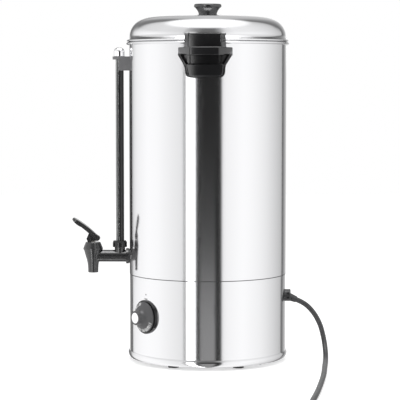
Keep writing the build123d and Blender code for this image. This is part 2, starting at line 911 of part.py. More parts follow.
# Bonnet with two ears that carry the lever's pivot pin.
pin_y = -tap_reach - pin_out
fork_half = lever_root_half
ear_in = fork_half + ear_gap
bonnet_ceiling = bonnet_top - bonnet_wall
with BuildPart() as tap_bonnet:
    with BuildSketch(nozzle_plane):
        with BuildLine():
            Polyline(
                (stem_r + stem_fit, bonnet_ceiling),
                (spring_chamber_r, bonnet_ceiling),
                (spring_chamber_r, valve_top),
                (bonnet_r - bonnet_foot_edge, valve_top),
                (bonnet_r, valve_top + bonnet_foot_edge),
                (bonnet_r, valve_top + bonnet_ridge),
                (bonnet_top_r, bonnet_top - bonnet_top_edge),
                (bonnet_top_r - bonnet_top_edge, bonnet_top),
                (stem_r + stem_fit, bonnet_top),
                close=True,
            )
        make_face()
    revolve(axis=nozzle_axis)
    with BuildSketch(Plane.YZ.offset(-ear_in - ear_thick)):
        with BuildLine():
            FilletPolyline(
                (pin_y - ear_front, pin_z),
                (pin_y + ear_crest_in, pin_z + ear_crest),
                (pin_y + ear_back, pin_z + ear_shoulder),
                (pin_y + ear_back, bonnet_top - bonnet_wall / 2),
                (pin_y - ear_foot, bonnet_top - bonnet_wall / 2),
                radius=(ear_bend, ear_bend, 0, 0, ear_bend),
                close=True,
            )
        make_face()
    extrude(amount=2 * (ear_in + ear_thick))
    with BuildSketch(Plane.XY.offset(bonnet_top)):
        with Locations((0, pin_y)):
            Rectangle(2 * ear_in, 2 * (ear_front + ear_back))
    extrude(amount=2 * ear_crest + pin_z - bonnet_top, mode=Mode.SUBTRACT)
    with BuildSketch(Plane.YZ):
        with Locations((pin_y, pin_z)):
            Circle(pin_r)
    extrude(amount=pin_boring, both=True, mode=Mode.SUBTRACT)
    with BuildSketch(Plane.XY.offset(bonnet_ceiling)):
        with Locations((0, -tap_reach)):
            Circle(stem_r + stem_fit)
    extrude(amount=2 * bonnet_wall, mode=Mode.SUBTRACT)
export(tap_bonnet, "tap_bonnet")

with BuildPart() as lever_pin:
    with BuildSketch(Plane.YZ.offset(-ear_in - ear_thick)):
        with Locations((pin_y, pin_z)):
            Circle(pin_r)
    extrude(amount=2 * (ear_in + ear_thick))
export(lever_pin, "lever_pin")

# Lever: a blade that rises away from a fork round the stem.
tilt = radians(lever_tilt)
blade_plane = Plane(
    origin=(0, pin_y + lever_lift * sin(tilt), pin_z + lever_lift * cos(tilt)),
    x_dir=(0, -cos(tilt), sin(tilt)),
    z_dir=(0, sin(tilt), cos(tilt)),
)
side_plane = Plane(origin=blade_plane.origin, x_dir=blade_plane.x_dir, z_dir=(1, 0, 0))
half_thick = lever_thick / 2
with BuildPart() as tap_lever:
    with BuildSketch(blade_plane.offset(-lever_thick)):
        with BuildLine():
            side_line = Spline(
                (-lever_tail, lever_root_half),
                (lever_waist * lever_length, lever_waist_half),
                (lever_length - lever_tip_half, lever_tip_half),
                tangents=((1, 0), (1, 0)),
            )
            RadiusArc(side_line @ 1, (lever_length - lever_tip_half, -lever_tip_half), lever_tip_half)
            mirror(side_line, about=Plane.XZ)
            Line((-lever_tail, lever_root_half), (-lever_tail, -lever_root_half))
        make_face()
    extrude(amount=2 * lever_thick)
    with BuildSketch(side_plane) as lever_side:
        with BuildLine():
            ThreePointArc(
                (-lever_tail, -half_thick),
                ((lever_length - lever_tail) / 2, -half_thick - lever_belly),
                (lever_length, half_thick - 2 * lever_nose_bend),
            )
            Line((lever_length, half_thick - 2 * lever_nose_bend), (lever_length, half_thick))
            ThreePointArc(
                (lever_length, half_thick),
                (pad_start + pad_length / 2, half_thick + lever_crown),
                (pad_start, half_thick),
            )
            Polyline((pad_start, half_thick), (-lever_tail, half_thick), (-lever_tail, -half_thick))
        make_face()
        nose_corners = lever_side.vertices().sort_by(Axis(blade_plane.origin, blade_plane.x_dir))[-2:]
        fillet(nose_corners, radius=lever_nose_bend)
    extrude(amount=2 * lever_tip_half, both=True, mode=Mode.INTERSECT)
    with BuildSketch(blade_plane.offset(half_thick + lever_crown - dish_depth)):
        with Locations((pad_start + pad_length / 2, 0)):
            Ellipse(pad_length / 2, pad_half)
    extrude(amount=2 * lever_crown, taper=-dish_taper, mode=Mode.SUBTRACT)
    with BuildSketch(Plane.YZ.offset(-fork_half)):
        with Locations((pin_y, pin_z)):
            Circle(boss_r)
        with Locations((pin_y + lobe_in, pin_z + lobe_rise)):
            Circle(lobe_r)
        with Locations((pin_y + heel_in, pin_z + heel_rise)):
            Circle(heel_r)
        make_hull()
    extrude(amount=2 * fork_half)
    with BuildSketch(Plane.YZ.offset(-fork_slot_half)):
        with Locations((pin_y, pin_z + fork_slot_top)):
            Rectangle(2 * lever_length, lever_length, align=(Align.CENTER, Align.MAX))
    extrude(amount=2 * fork_slot_half, mode=Mode.SUBTRACT)
    with BuildSketch(Plane.YZ):
        with Locations((pin_y, pin_z)):
            Circle(pin_r + hinge_fit)
        with Locations((pin_y + pin_out, pin_z)):
            Circle(link_r)
    extrude(amount=pin_boring, both=True, mode=Mode.SUBTRACT)
export(tap_lever, "tap_lever")

with BuildPart() as link_pin:
    with BuildSketch(Plane.YZ.offset(-fork_half)):
        with Locations((pin_y + pin_out, pin_z)):
            Circle(link_r)
    extrude(amount=2 * fork_half)
export(link_pin, "link_pin")

# Plunger: a stem with a flat tongue, its lower end held in a seat cup.
cup_top = seat_z + cup_height
with BuildPart() as tap_stem:
    with BuildSketch(Plane.XY.offset(cup_top - cup_socket)):
        with Locations((0, -tap_reach)):
            Circle(stem_root_r)
    extrude(amount=cup_socket)
    with BuildSketch(Plane.XY.offset(cup_top)):
        with Locations((0, -tap_reach)):
            Circle(stem_r)
    extrude(amount=stem_shoulder_z - cup_top)
    with BuildSketch(Plane.XY.offset(stem_shoulder_z)):
        with Locations((0, -tap_reach)):
            Circle(stem_r)
            Rectangle(2 * tongue_half, 2 * stem_r, mode=Mode.INTERSECT)
    extrude(amount=stem_top - stem_shoulder_z)
    with BuildSketch(Plane.YZ):
        with Locations((-tap_reach - stem_slot_shift, pin_z)):
            SlotCenterToCenter(stem_slot_length, 2 * (link_r + link_clearance))
    extrude(amount=pin_boring, both=True, mode=Mode.SUBTRACT)
export(tap_stem, "tap_stem")

with BuildPart() as seat_cup:
    with BuildSketch(nozzle_plane):
        with BuildLine():
            Polyline(
                (0, seat_z),
                (cup_foot_r, seat_z),
                (cup_r, cup_top - cup_lip),
                (cup_r, cup_top),
                (stem_root_r, cup_top),
                (stem_root_r, cup_top - cup_socket),
                (0, cup_top - cup_socket),
                close=True,
            )
        make_face()
    revolve(axis=nozzle_axis)
export(seat_cup, "seat_cup")

with BuildPart() as tap_spring:
    with BuildLine():
        coil = Helix(
            pitch=spring_pitch,
            height=bonnet_ceiling - cup_top - spring_wire,
            radius=spring_r,
            center=(0, -tap_reach, cup_top + spring_wire / 2),
        )
    with BuildSketch(Plane(origin=coil @ 0, z_dir=coil % 0)):
        Circle(spring_wire / 2)
    sweep(is_frenet=True)
export(tap_spring, "tap_spring")

# --------------------------------------------------------- level gauge
gauge_axis = Axis((0, -gauge_reach, 0), (0, 0, 1))
gauge_plane = Plane.XZ.offset(gauge_reach)
seal_low = tee_top
seal_top = tee_top + gauge_seal_height

with BuildPart() as gauge_glass:
    with BuildSketch(Plane.XY.offset(glass_low)):
        with Locations((0, -gauge_reach)):
            Circle(glass_r)
            Circle(glass_bore_r, mode=Mode.SUBTRACT)
    extrude(amount=glass_top - glass_low)
export(gauge_glass, "gauge_glass")

with BuildPart() as gauge_seal:
    with BuildSketch(Plane.XY.offset(seal_low)):
        with Locations((0, -gauge_reach)):
            Circle(tee_r)
            Circle(glass_r, mode=Mode.SUBTRACT)
    extrude(amount=gauge_seal_height)
export(gauge_seal, "gauge_seal")

with BuildPart() as gauge_gland_nut:
    with BuildSketch(gauge_plane):
        with BuildLine():
            Polyline(
                (tee_r, gland_low),
                (gland_r, gland_low),
                (gland_r, gland_top - 2 * gland_chamfer),
                (gland_r - gland_chamfer, gland_top),
                (glass_r + glass_fit, gland_top),
                (glass_r + glass_fit, seal_top),
                (tee_r, seal_top),
                close=True,
            )
        make_face()
    revolve(axis=gauge_axis)
export(gauge_gland_nut, "gauge_gland_nut")

with BuildPart() as gauge_guard:
    with BuildSketch(Plane.XY.offset(gland_top)):
        with Locations((0, -gauge_reach)):
            Circle(guard_r)
            Circle(guard_inner_r, mode=Mode.SUBTRACT)
            Rectangle(2 * guard_r, guard_r, align=(Align.CENTER, Align.MAX), mode=Mode.SUBTRACT)
    extrude(amount=bracket_top - lip_thickness - gland_top)
export(gauge_guard, "gauge_guard")

with BuildPart() as gauge_bracket:
    with BuildSketch(Plane.XY.offset(bracket_low)):
        with Locations((0, -gauge_reach)):
            Rectangle(2 * bracket_half, gauge_out + bracket_root, align=(Align.CENTER, Align.MIN))
    extrude(amount=bracket_top - bracket_low)
    with BuildSketch(Plane.XY.offset(bracket_low)):
        with Locations((0, -gauge_reach)):
            Circle(guard_r)
    extrude(amount=bracket_top - lip_thickness - bracket_low, mode=Mode.SUBTRACT)
    with BuildSketch(Plane.XY.offset(bracket_top - lip_thickness)):
        with Locations((0, -gauge_reach)):
            Circle(lip_r)
    extrude(amount=lip_thickness)
    with BuildSketch(Plane.XY.offset(bracket_top - lip_thickness)):
        with Locations((0, -gauge_reach)):
            Circle(glass_r + glass_fit)
    extrude(amount=lip_thickness, mode=Mode.SUBTRACT)
    with BuildSketch():
        Circle(tank_r)
    extrude(amount=tall, mode=Mode.SUBTRACT)
    with BuildSketch(Plane.XZ.offset(tank_r - bracket_root)):
        for z in bracket_screw_z:
            with Locations((0, z)):
                Circle(m3[0])
    extrude(amount=bracket_root + bracket_thread, mode=Mode.SUBTRACT)
export(gauge_bracket, "gauge_bracket")

with BuildPart() as bracket_screws:
    for z in bracket_screw_z:
        with Locations(Location((0, -bracket_seal_face + washer_thickness, z), (-90, 0, 0))):
            add(screw_form(m3, tank_r + bracket_grip - bracket_seal_face + washer_thickness))
export(bracket_screws, "bracket_screws")

with BuildPart() as gauge_cap:
    with BuildSketch(gauge_plane):
        with BuildLine():
            FilletPolyline(
                (0, bracket_top),
                (cap_r, bracket_top),
                (cap_r, bracket_top + cap_height),
                (0, bracket_top + cap_height),
                close=True,
                radius=(0, cap_foot_bend, cap_height - cap_straight, 0),
            )
        make_face()
    revolve(axis=gauge_axis)
    with BuildSketch(Plane.XY.offset(bracket_top)):
        with Locations((0, -gauge_reach)):
            Circle(glass_r + glass_fit)
    extrude(amount=cap_bore_depth, mode=Mode.SUBTRACT)
export(gauge_cap, "gauge_cap")


# ------------------------------------------------- dial and thermostat
def dial_plane(distance):
    """A plane facing out of the dial, at a distance from the urn's axis."""
    return Plane(origin=dial_dir * distance + Vector(0, 0, dial_z), x_dir=dial_side, z_dir=dial_dir)


dial_axis = Axis(Vector(0, 0, dial_z), dial_dir)
bezel_front = base_r + bezel_proud
bezel_back = chord_depth(base_r, bezel_r) - bezel_root
skirt_back = bezel_front + dial_clearance
skirt_front = skirt_back + dial_rim
cone_front = skirt_front + dial_cone_height
hub_front = base_r + hub_reach
hub_waist = hub_front - hub_straight

with BuildPart() as dial_bezel:
    with BuildSketch(dial_plane(bezel_back)):
        Circle(bezel_r)
        Circle(bezel_inner_r, mode=Mode.SUBTRACT)
    extrude(amount=bezel_front - bezel_back)
    with BuildSketch():
        Circle(base_r)
    extrude(amount=seam_z, mode=Mode.SUBTRACT)
export(dial_bezel, "dial_bezel")

# The knob's section lies across the dial's axis, so its y is the outward one.
with BuildPart() as dial_knob:
    with BuildSketch(Plane(origin=(0, 0, dial_z), x_dir=(0, 0, 1), z_dir=dial_side)) as knob_section:
        with BuildLine():
            Polyline(
                (0, hub_front - hub_disc_depth),
                (hub_disc_r, hub_front - hub_disc_depth),
                (hub_disc_r, hub_front),
                (hub_r - hub_edge, hub_front),
                (hub_r, hub_front - hub_edge),
                (hub_r, hub_waist),
            )
            ThreePointArc(
                (hub_r, hub_waist),
                (hub_r + hub_flare * (hub_foot_r - hub_r), (hub_waist + cone_front) / 2),
                (hub_foot_r, cone_front),
            )
            Polyline(
                (hub_foot_r, cone_front),
                (dial_r - dial_rim_edge, skirt_front),
                (dial_r, skirt_front - dial_rim_edge),
                (dial_r, skirt_back),
                (0, skirt_back),
                (0, hub_front - hub_disc_depth),
            )
        make_face()
    revolve(axis=dial_axis)
    with BuildSketch(dial_plane(skirt_back)):
        Circle(shaft_r)
    extrude(amount=dial_bore_depth, mode=Mode.SUBTRACT)
export(dial_knob, "dial_knob")

with BuildPart() as dial_disc:
    with BuildSketch(dial_plane(hub_front - hub_disc_depth)):
        Circle(hub_disc_r)
    extrude(amount=hub_disc_depth)
export(dial_disc, "dial_disc")

thermostat_front = chord_depth(base_in_r, thermostat_width / 2)
thermostat_back = thermostat_front - thermostat_depth
with BuildPart() as thermostat_body:
    with BuildSketch(dial_plane(thermostat_back)):
        RectangleRounded(thermostat_width, thermostat_height, thermostat_corner)
    extrude(amount=thermostat_depth)
    with BuildSketch(dial_plane(thermostat_front)):
        Circle(bush_r)
    extrude(amount=bezel_front - thermostat_front)
    with BuildSketch(dial_plane(thermostat_back + thermostat_depth / 2)):
        Circle(shaft_r + shaft_fit)
    extrude(amount=bezel_front, mode=Mode.SUBTRACT)
    with BuildSketch(dial_plane(thermostat_front)):
        with Locations((thermostat_screw_x, 0), (-thermostat_screw_x, 0)):
            Circle(m4[0])
    extrude(amount=-thermostat_screw_bore, mode=Mode.SUBTRACT)
export(thermostat_body, "thermostat_body")

shaft_back = thermostat_back + thermostat_depth / 2 + shaft_end_play
with BuildPart() as thermostat_shaft:
    with BuildSketch(dial_plane(shaft_back)):
        Circle(shaft_r)
    extrude(amount=skirt_back + dial_bore_depth - shaft_end_play - shaft_back)
export(thermostat_shaft, "thermostat_shaft")

with BuildPart() as thermostat_screws:
    with BuildSketch(dial_plane(base_r)):
        with Locations((thermostat_screw_x, 0), (-thermostat_screw_x, 0)):
            Circle(m4[1])
    extrude(amount=thermostat_head_height)
    with BuildSketch(dial_plane(thermostat_front - thermostat_screw_depth)):
        with Locations((thermostat_screw_x, 0), (-thermostat_screw_x, 0)):
            Circle(m4[0])
    extrude(amount=base_r + thermostat_head_overlap - thermostat_front + thermostat_screw_depth)
export(thermostat_screws, "thermostat_screws")

# The sensor bulb lies under the tank floor, across the thermostat.
bulb_z = floor_z - bulb_r
bulb_plane = Plane(
    origin=dial_dir * bulb_chord + Vector(0, 0, bulb_z) - dial_side * (bulb_length / 2),
    x_dir=dial_dir * -1,
    z_dir=dial_side,
)
with BuildPart() as bulb_clips:
    for share in clip_shares:
        with BuildSketch(bulb_plane.offset(share * bulb_length - clip_length / 2)):
            Circle(bulb_r + clip_wall)
            Rectangle(2 * (bulb_r + clip_wall), bulb_r, align=(Align.CENTER, Align.MIN))
            Circle(bulb_r, mode=Mode.SUBTRACT)
            Rectangle(2 * bulb_r, bulb_r, align=(Align.CENTER, Align.MIN), mode=Mode.SUBTRACT)
            with Locations((0, bulb_r)):
                Rectangle(2 * tank_r, tank_r, align=(Align.CENTER, Align.MIN), mode=Mode.SUBTRACT)
        extrude(amount=clip_length)
export(bulb_clips, "bulb_clips")

capillary_start = dial_dir * (thermostat_back + thermostat_depth / 2) + Vector(
    0, 0, dial_z + thermostat_height / 2
)
bulb_end = bulb_plane.origin + dial_side * bulb_length
with BuildPart() as sensor_bulb:
    with BuildSketch(bulb_plane):
        Circle(bulb_r)
    extrude(amount=bulb_length)
    with BuildLine() as capillary_route:
        FilletPolyline(
            capillary_start,
            capillary_start + Vector(0, 0, capillary_rise),
            bulb_end + dial_side * capillary_loop + (dial_dir - Vector(0, 0, 1)) * capillary_shift,
            bulb_end + dial_side * capillary_lead,
            bulb_end,
            radius=(capillary_bend, capillary_tight_bend, capillary_tight_bend),
        )
    with BuildSketch(Plane(origin=capillary_route.line @ 0, z_dir=(0, 0, 1))):
        Circle(capillary_r)
    sweep()
export(sensor_bulb, "sensor_bulb")

# ------------------------------------------------ heater and electrics
heater_low = floor_z - heater_thickness
element_z = heater_low - element_r
with BuildPart() as heater_plate:
    with BuildSketch(Plane.XY.offset(heater_low)):
        Circle(heater_r)
    extrude(amount=heater_thickness)
export(heater_plate, "heater_plate")

half_gap = (360 - element_arc) / 2
element_ends = []
for turn in (half_gap, -half_gap):
    element_ends.append((element_circle_r * cos(radians(turn)), element_circle_r * sin(radians(turn))))
leg_low = element_z - element_leg
with BuildPart() as heater_element:
    with BuildLine(Plane.XY.offset(element_z)) as element_ring:
        CenterArc((0, 0), element_circle_r, start_angle=half_gap, arc_size=element_arc)
    with BuildSketch(Plane(origin=element_ring.line @ 0, z_dir=element_ring.line % 0)):
        Circle(element_r)
    sweep()
    with Locations(*[(x, y, element_z) for x, y in element_ends]):
        Sphere(element_r)
    with BuildSketch(Plane.XY.offset(leg_low)):
        with Locations(*element_ends):
            Circle(element_r)
    extrude(amount=element_leg)
    with BuildSketch(Plane.XY.offset(leg_low - element_pin_length)):
        with Locations(*element_ends):
            Circle(element_pin_r)
    extrude(amount=element_pin_length)
export(heater_element, "heater_element")

# Boil-dry cut-out on the bottom plate; its button is pressed from below.
cutout_low = plate_z + sheet
with BuildPart() as cutout_body:
    with BuildSketch(Plane.XY.offset(cutout_low)):
        with Locations(button_place):
            RectangleRounded(cutout_width, cutout_depth, cutout_corner)
    extrude(amount=cutout_height)
    with BuildSketch(Plane.XY.offset(cutout_low)):
        with Locations(button_place):
            Circle(button_r + button_fit)
    extrude(amount=cutout_bore_share * cutout_height, mode=Mode.SUBTRACT)
    with BuildSketch(Plane.XY.offset(cutout_low)):
        with Locations(button_place):
            Circle(button_head_r + hole_clearance)
    extrude(amount=button_travel + button_spare, mode=Mode.SUBTRACT)
export(cutout_body, "cutout_body")

button_low = plate_z - button_proud
with BuildPart() as reset_button:
    with BuildSketch(Plane.XY.offset(button_low)):
        with Locations(button_place):
            Circle(button_head_r)
    extrude(amount=button_proud + sheet)
    with BuildSketch(Plane.XY.offset(cutout_low)):
        with Locations(button_place):
            Circle(button_r)
    extrude(amount=cutout_bore_share * cutout_height - button_travel - button_end_play)
export(reset_button, "reset_button")

cutout_top = cutout_low + cutout_height
sensor_low = heater_low - sensor_height
with BuildPart() as cutout_sensor:
    with BuildSketch(Plane.XY.offset(sensor_low)):
        Circle(sensor_r)
    extrude(amount=sensor_height)
    with BuildLine():
        FilletPolyline(
            (cutout_x, cutout_y, cutout_top),
            (cutout_x, cutout_y, cutout_top + cutout_lead),
            (0, 0, sensor_low - capillary_rise),
            (0, 0, sensor_low),
            radius=capillary_bend,
        )
    with BuildSketch(Plane(origin=(cutout_x, cutout_y, cutout_top))):
        Circle(capillary_r)
    sweep()
export(cutout_sensor, "cutout_sensor")

terminal_top = cutout_low + terminal_height
terminal_grid = GridLocations(
    terminal_width / terminal_columns, terminal_length / terminal_rows, terminal_columns, terminal_rows
)
with BuildPart() as terminal_block:
    with BuildSketch(Plane.XY.offset(cutout_low)):
        with Locations((terminal_x, terminal_y)):
            RectangleRounded(terminal_width, terminal_length, terminal_corner)
    extrude(amount=terminal_height)
    with BuildSketch(Plane.XY.offset(terminal_top)):
        with Locations((terminal_x, terminal_y)):
            with terminal_grid:
                Circle(terminal_bore_r)
    extrude(amount=-terminal_bore_depth, mode=Mode.SUBTRACT)
export(terminal_block, "terminal_block")

with BuildPart() as terminal_screws:
    with BuildSketch(Plane.XY.offset(terminal_top - terminal_bore_depth)):
        with Locations((terminal_x, terminal_y)):
            with terminal_grid:
                Circle(terminal_screw_r)
    extrude(amount=terminal_screw_height)
export(terminal_screws, "terminal_screws")

with BuildPart() as earth_stud:
    with Locations(Location((earth_x, earth_y, plate_z), (180, 0, 0))):
        add(screw_form(m4, earth_length))
    with Locations((earth_x, earth_y, cutout_low), (earth_x, earth_y, cutout_low + earth_nut_gap)):
        add(hex_nut(m4_nut, m4[0] - earth_nut_grip))
export(earth_stud, "earth_stud")

# ---------------------------------------------------- gland and cord
droop = radians(boot_droop)
collar_front = base_r + gland_collar_length
boot_root = Plane(origin=(0, base_r, gland_z), x_dir=(1, 0, 0), z_dir=(0, cos(droop), -sin(droop)))
with BuildPart() as cord_gland:
    with BuildSketch(Plane.XZ.offset(-base_r + gland_root)):
        with Locations((0, gland_z)):
            Circle(gland_collar_r)
    extrude(amount=-gland_root - gland_collar_length)
    fillet(cord_gland.faces().sort_by(Axis.Y)[-1].edges(), radius=gland_collar_bend)
    with BuildSketch(Plane.YZ):
        with Locations(((base_r + collar_front) / 2, gland_z)):
            RectangleRounded(*gland_window, gland_window_bend)
    extrude(amount=gland_collar_r, both=True, mode=Mode.SUBTRACT)
    with BuildSketch(Plane.XZ.offset(-base_r + gland_root)):
        with Locations((0, gland_z)):
            Circle(gland_collar_r - gland_window_depth)
    extrude(amount=-gland_root - gland_collar_length + gland_collar_bend)
    with BuildSketch(boot_root):
        Circle(boot_root_r)
    extrude(amount=boot_length, taper=degrees(atan2(boot_root_r - boot_tip_r, boot_length)))
    with BuildSketch():
        Circle(base_r)
    extrude(amount=seam_z, mode=Mode.SUBTRACT)
    with BuildSketch(Plane.XZ.offset(-base_r - gland_neck_overlap)):
        with Locations((0, gland_z)):
            Circle(gland_neck_r)
    extrude(amount=gland_neck_length)
export(cord_gland, "cord_gland")

gland_nut_face = chord_depth(base_in_r, 2 * gland_collar_r / sqrt(3))
with BuildPart() as gland_nut:
    with Locations(Location((0, gland_nut_face, gland_z), (90, 0, 0))):
        add(hex_nut((2 * gland_collar_r, gland_nut_thickness), gland_neck_r))
export(gland_nut, "gland_nut")

# The cord's route: through the air, round onto the table, then forward.
boot_tip = Vector(
    0,
    base_r + boot_length * cos(droop),
    gland_z - boot_length * sin(droop),
)
cord_points = [
    boot_tip,
    Vector(0, 162.3, 95.1),
    Vector(0, 176.9, 80.8),
    Vector(0, 187.6, 60.7),
    Vector(3, 193.8, 35.8),
    Vector(18.5, 197.6, 14.8),
    Vector(42, 198.4, cord_r),
    Vector(88, 195.4, cord_r),
    Vector(172, 189.0, cord_r),
    Vector(262, 180.6, cord_r),
    Vector(352, 170.8, cord_r),
    Vector(445, 159.2, cord_r),
    Vector(533, 150.6, cord_r),
]


def bend_radii(points):
    """The largest arc for each corner: 0.45 of its shorter run over tan of half the turn."""
    radii = []
    for before, corner, after in zip(points, points[1:], points[2:]):
        run_in = corner - before
        run_out = after - corner
        half_turn = radians(run_in.get_angle(run_out)) / 2
        radii.append(0.45 * min(run_in.length, run_out.length) / tan(half_turn))
    return radii


def cord_tube(points):
    """A round tube along straight runs joined by tangent arcs."""
    radii = bend_radii(points)
    print("cord radii", [round(r, 1) for r in radii])
    with BuildPart() as tube:
        with BuildLine() as route:
            FilletPolyline(*points, radius=radii)
        with BuildSketch(Plane(origin=route.line @ 0, z_dir=route.line % 0)):
            Circle(cord_r)
        sweep()
    length = sum(edge.length for edge in route.edges())
    print("length", round(length, 1), "volume ratio", round(tube.part.volume / (pi * cord_r**2 * length), 4))
    return tube


power_cord = cord_tube(cord_points)
export(power_cord, "power_cord")

# Coil: the cord's end meets its outer turn on a tangent.
cord_d = 2 * cord_r
coil_mean_r = coil_mean_diameters * cord_r
coil_out_r = coil_mean_r + coil_turns_wide * cord_r
coil_in_r = coil_mean_r - coil_turns_wide * cord_r
coil_height = coil_turns_high * cord_d
coil_heading = (cord_points[-1] - cord_points[-2]).normalized()
coil_inward = Vector(coil_heading.Y, -coil_heading.X, 0)
outer_turn_r = coil_out_r - cord_r
coil_centre = cord_points[-1] + coil_inward * outer_turn_r - Vector(0, 0, cord_r)
with BuildPart() as cord_coil:
    with BuildSketch(Plane(origin=coil_centre)):
        Circle(coil_out_r)
        Circle(coil_in_r, mode=Mode.SUBTRACT)
    extrude(amount=coil_height)
    fillet(cord_coil.edges(), radius=coil_edge_share * cord_r)
export(cord_coil, "cord_coil")

tail_start = coil_centre - coil_inward * outer_turn_r + Vector(0, 0, coil_height - cord_r)
tail_points = []
for run, rise in zip(tail_runs, (*tail_rises, plug_r - coil_height + cord_r)):
    tail_points.append(tail_start + coil_heading * run + Vector(0, 0, rise))
cord_tail = cord_tube(tail_points)
export(cord_tail, "cord_tail")

plug_start = tail_points[-1]
plug_section = Plane(origin=plug_start, x_dir=(0, 0, 1), z_dir=coil_inward * -1)
plug_axis = Axis(plug_start, coil_heading)
with BuildPart() as plug_body:
    with BuildSketch(plug_section):
        with BuildLine():
            Polyline(
                (0, relief_length + plug_length),
                (0, 0),
                (relief_r, 0),
                (plug_neck_share * plug_neck_r, relief_length - plug_neck_inset),
            )
            Spline(
                (plug_neck_share * plug_neck_r, relief_length - plug_neck_inset),
                (plug_shoulder[0], relief_length + plug_shoulder[1]),
                (plug_r, relief_length + plug_straight_share * plug_length),
                tangents=((plug_lean, 1), (plug_lean, 1)),
            )
            FilletPolyline(
                (plug_r, relief_length + plug_straight_share * plug_length),
                (plug_r, relief_length + plug_length),
                (0, relief_length + plug_length),
                radius=plug_face_bend,
            )
        make_face()
    revolve(axis=plug_axis)
export(plug_body, "plug_body")

pin_base = Plane(
    origin=plug_start + coil_heading * (relief_length + plug_length), x_dir=coil_inward, z_dir=coil_heading
)
with BuildPart() as plug_pins:
    with BuildSketch(pin_base):
        with Locations((plug_pin_half_spacing, 0), (-plug_pin_half_spacing, 0)):
            Circle(plug_pin_r)
    extrude(amount=plug_pin_length)
export(plug_pins, "plug_pins")
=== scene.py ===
from math import atan2, cos, hypot, pi, radians, sin

import bmesh
import bpy
import numpy as np
from bpy.props import FloatProperty, FloatVectorProperty, IntProperty, PointerProperty
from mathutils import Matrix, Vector


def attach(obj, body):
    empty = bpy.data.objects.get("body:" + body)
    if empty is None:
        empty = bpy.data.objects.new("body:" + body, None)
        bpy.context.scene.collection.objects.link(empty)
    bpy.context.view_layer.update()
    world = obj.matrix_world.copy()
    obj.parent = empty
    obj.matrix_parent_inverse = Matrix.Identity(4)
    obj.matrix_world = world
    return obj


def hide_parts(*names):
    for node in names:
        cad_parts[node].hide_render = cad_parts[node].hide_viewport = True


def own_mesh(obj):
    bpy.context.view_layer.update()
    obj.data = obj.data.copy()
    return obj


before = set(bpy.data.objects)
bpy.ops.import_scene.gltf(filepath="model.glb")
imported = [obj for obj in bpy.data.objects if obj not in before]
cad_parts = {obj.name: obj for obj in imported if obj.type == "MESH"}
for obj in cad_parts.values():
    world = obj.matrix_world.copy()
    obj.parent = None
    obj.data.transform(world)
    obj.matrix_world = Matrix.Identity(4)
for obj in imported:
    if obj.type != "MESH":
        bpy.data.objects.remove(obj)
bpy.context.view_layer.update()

bl_info = {
    "name": "Hot Water Urn",
    "version": (1, 0, 0),
    "blender": (4, 5, 0),
    "location": "3D View > Sidebar > Urn",
    "description": "Finishes a hot water urn: steel, moulded plastics, tap, gauge, dial, cord and studio",
    "category": "Object",
}

mm = 0.001


# ------------------------------------------------------------- settings
class StudioSettings(bpy.types.PropertyGroup):
    """Camera, lamp and the surroundings that the steel mirrors."""

    camera_distance: FloatProperty(
        name="Camera distance", description="From the urn's axis", default=2.9307, unit="LENGTH"
    )
    camera_height: FloatProperty(
        name="Camera height", description="Above the table", default=0.4802, unit="LENGTH"
    )
    camera_turn: FloatProperty(
        name="Camera turn", description="About the urn, from +X", default=radians(1.8), subtype="ANGLE"
    )
    aim_side: FloatProperty(
        name="Aim aside", description="Aim point, to the left of the axis", default=0.0129, unit="LENGTH"
    )
    aim_height: FloatProperty(
        name="Aim height", description="Aim point above the table", default=0.2676, unit="LENGTH"
    )
    lens: FloatProperty(name="Lens", description="Focal length in millimetres", default=157.8)
    ambient: FloatProperty(name="Ambient", description="Soft light from all round", default=0.75)
    panel: FloatProperty(name="Panels", description="Brightness of the white panels", default=1.36)
    strip: FloatProperty(name="Strip", description="Brightness of the tall strip light", default=4.6)
    key_power: FloatProperty(
        name="Key lamp", description="Power of the lamp overhead", default=22.0, unit="POWER"
    )
    floor_radius: FloatProperty(
        name="Floor radius", description="Size of the table", default=4.0, unit="LENGTH"
    )
    floor_glow: FloatProperty(
        name="Floor glow", description="Whiteness of the table to the eye", default=0.42
    )


class SteelSettings(bpy.types.PropertyGroup):
    """The polished sheet."""

    colour: FloatVectorProperty(
        name="Colour",
        description="Polished steel",
        default=(0.88, 0.88, 0.885),
        subtype="COLOR",
        min=0,
        max=1,
    )
    roughness: FloatProperty(name="Roughness", description="Of the polish", default=0.02)
    ripple: FloatProperty(name="Ripple", description="Unevenness of the sheet", default=0.006)


class PlasticSettings(bpy.types.PropertyGroup):
    """The black mouldings."""

    colour: FloatVectorProperty(
        name="Colour",
        description="Black mouldings",
        default=(0.014, 0.014, 0.015),
        subtype="COLOR",
        min=0,
        max=1,
    )
    roughness: FloatProperty(name="Roughness", description="Of the mouldings", default=0.16)


class CordSettings(bpy.types.PropertyGroup):
    """The mains cord and its coil."""

    radius: FloatProperty(name="Radius", description="Of the cord", default=4.2 * mm, unit="LENGTH")
    coil_radius: FloatProperty(
        name="Coil radius", description="Middle of the turns", default=44.1 * mm, unit="LENGTH"
    )
    turn_points: IntProperty(name="Points per turn", description="Of the coil", default=16, min=12)


class DialSettings(bpy.types.PropertyGroup):
    """Printed numbers on the thermostat's dial, and the marks above it."""

    number_height: FloatProperty(
        name="Number height", description="Of the print", default=5.4 * mm, unit="LENGTH"
    )
    first_number: IntProperty(name="First number", description="Degrees at the low end", default=30)
    number_step: IntProperty(name="Step", description="Between numbers", default=10)
    number_count: IntProperty(name="Numbers", description="How many are printed", default=9, min=2)
    first_turn: FloatProperty(
        name="First turn",
        description="Of the first number, about the dial from the top",
        default=radians(-22),
        subtype="ANGLE",
    )
    turn_step: FloatProperty(
        name="Turn step", description="From a number to the next", default=radians(-27), subtype="ANGLE"
    )


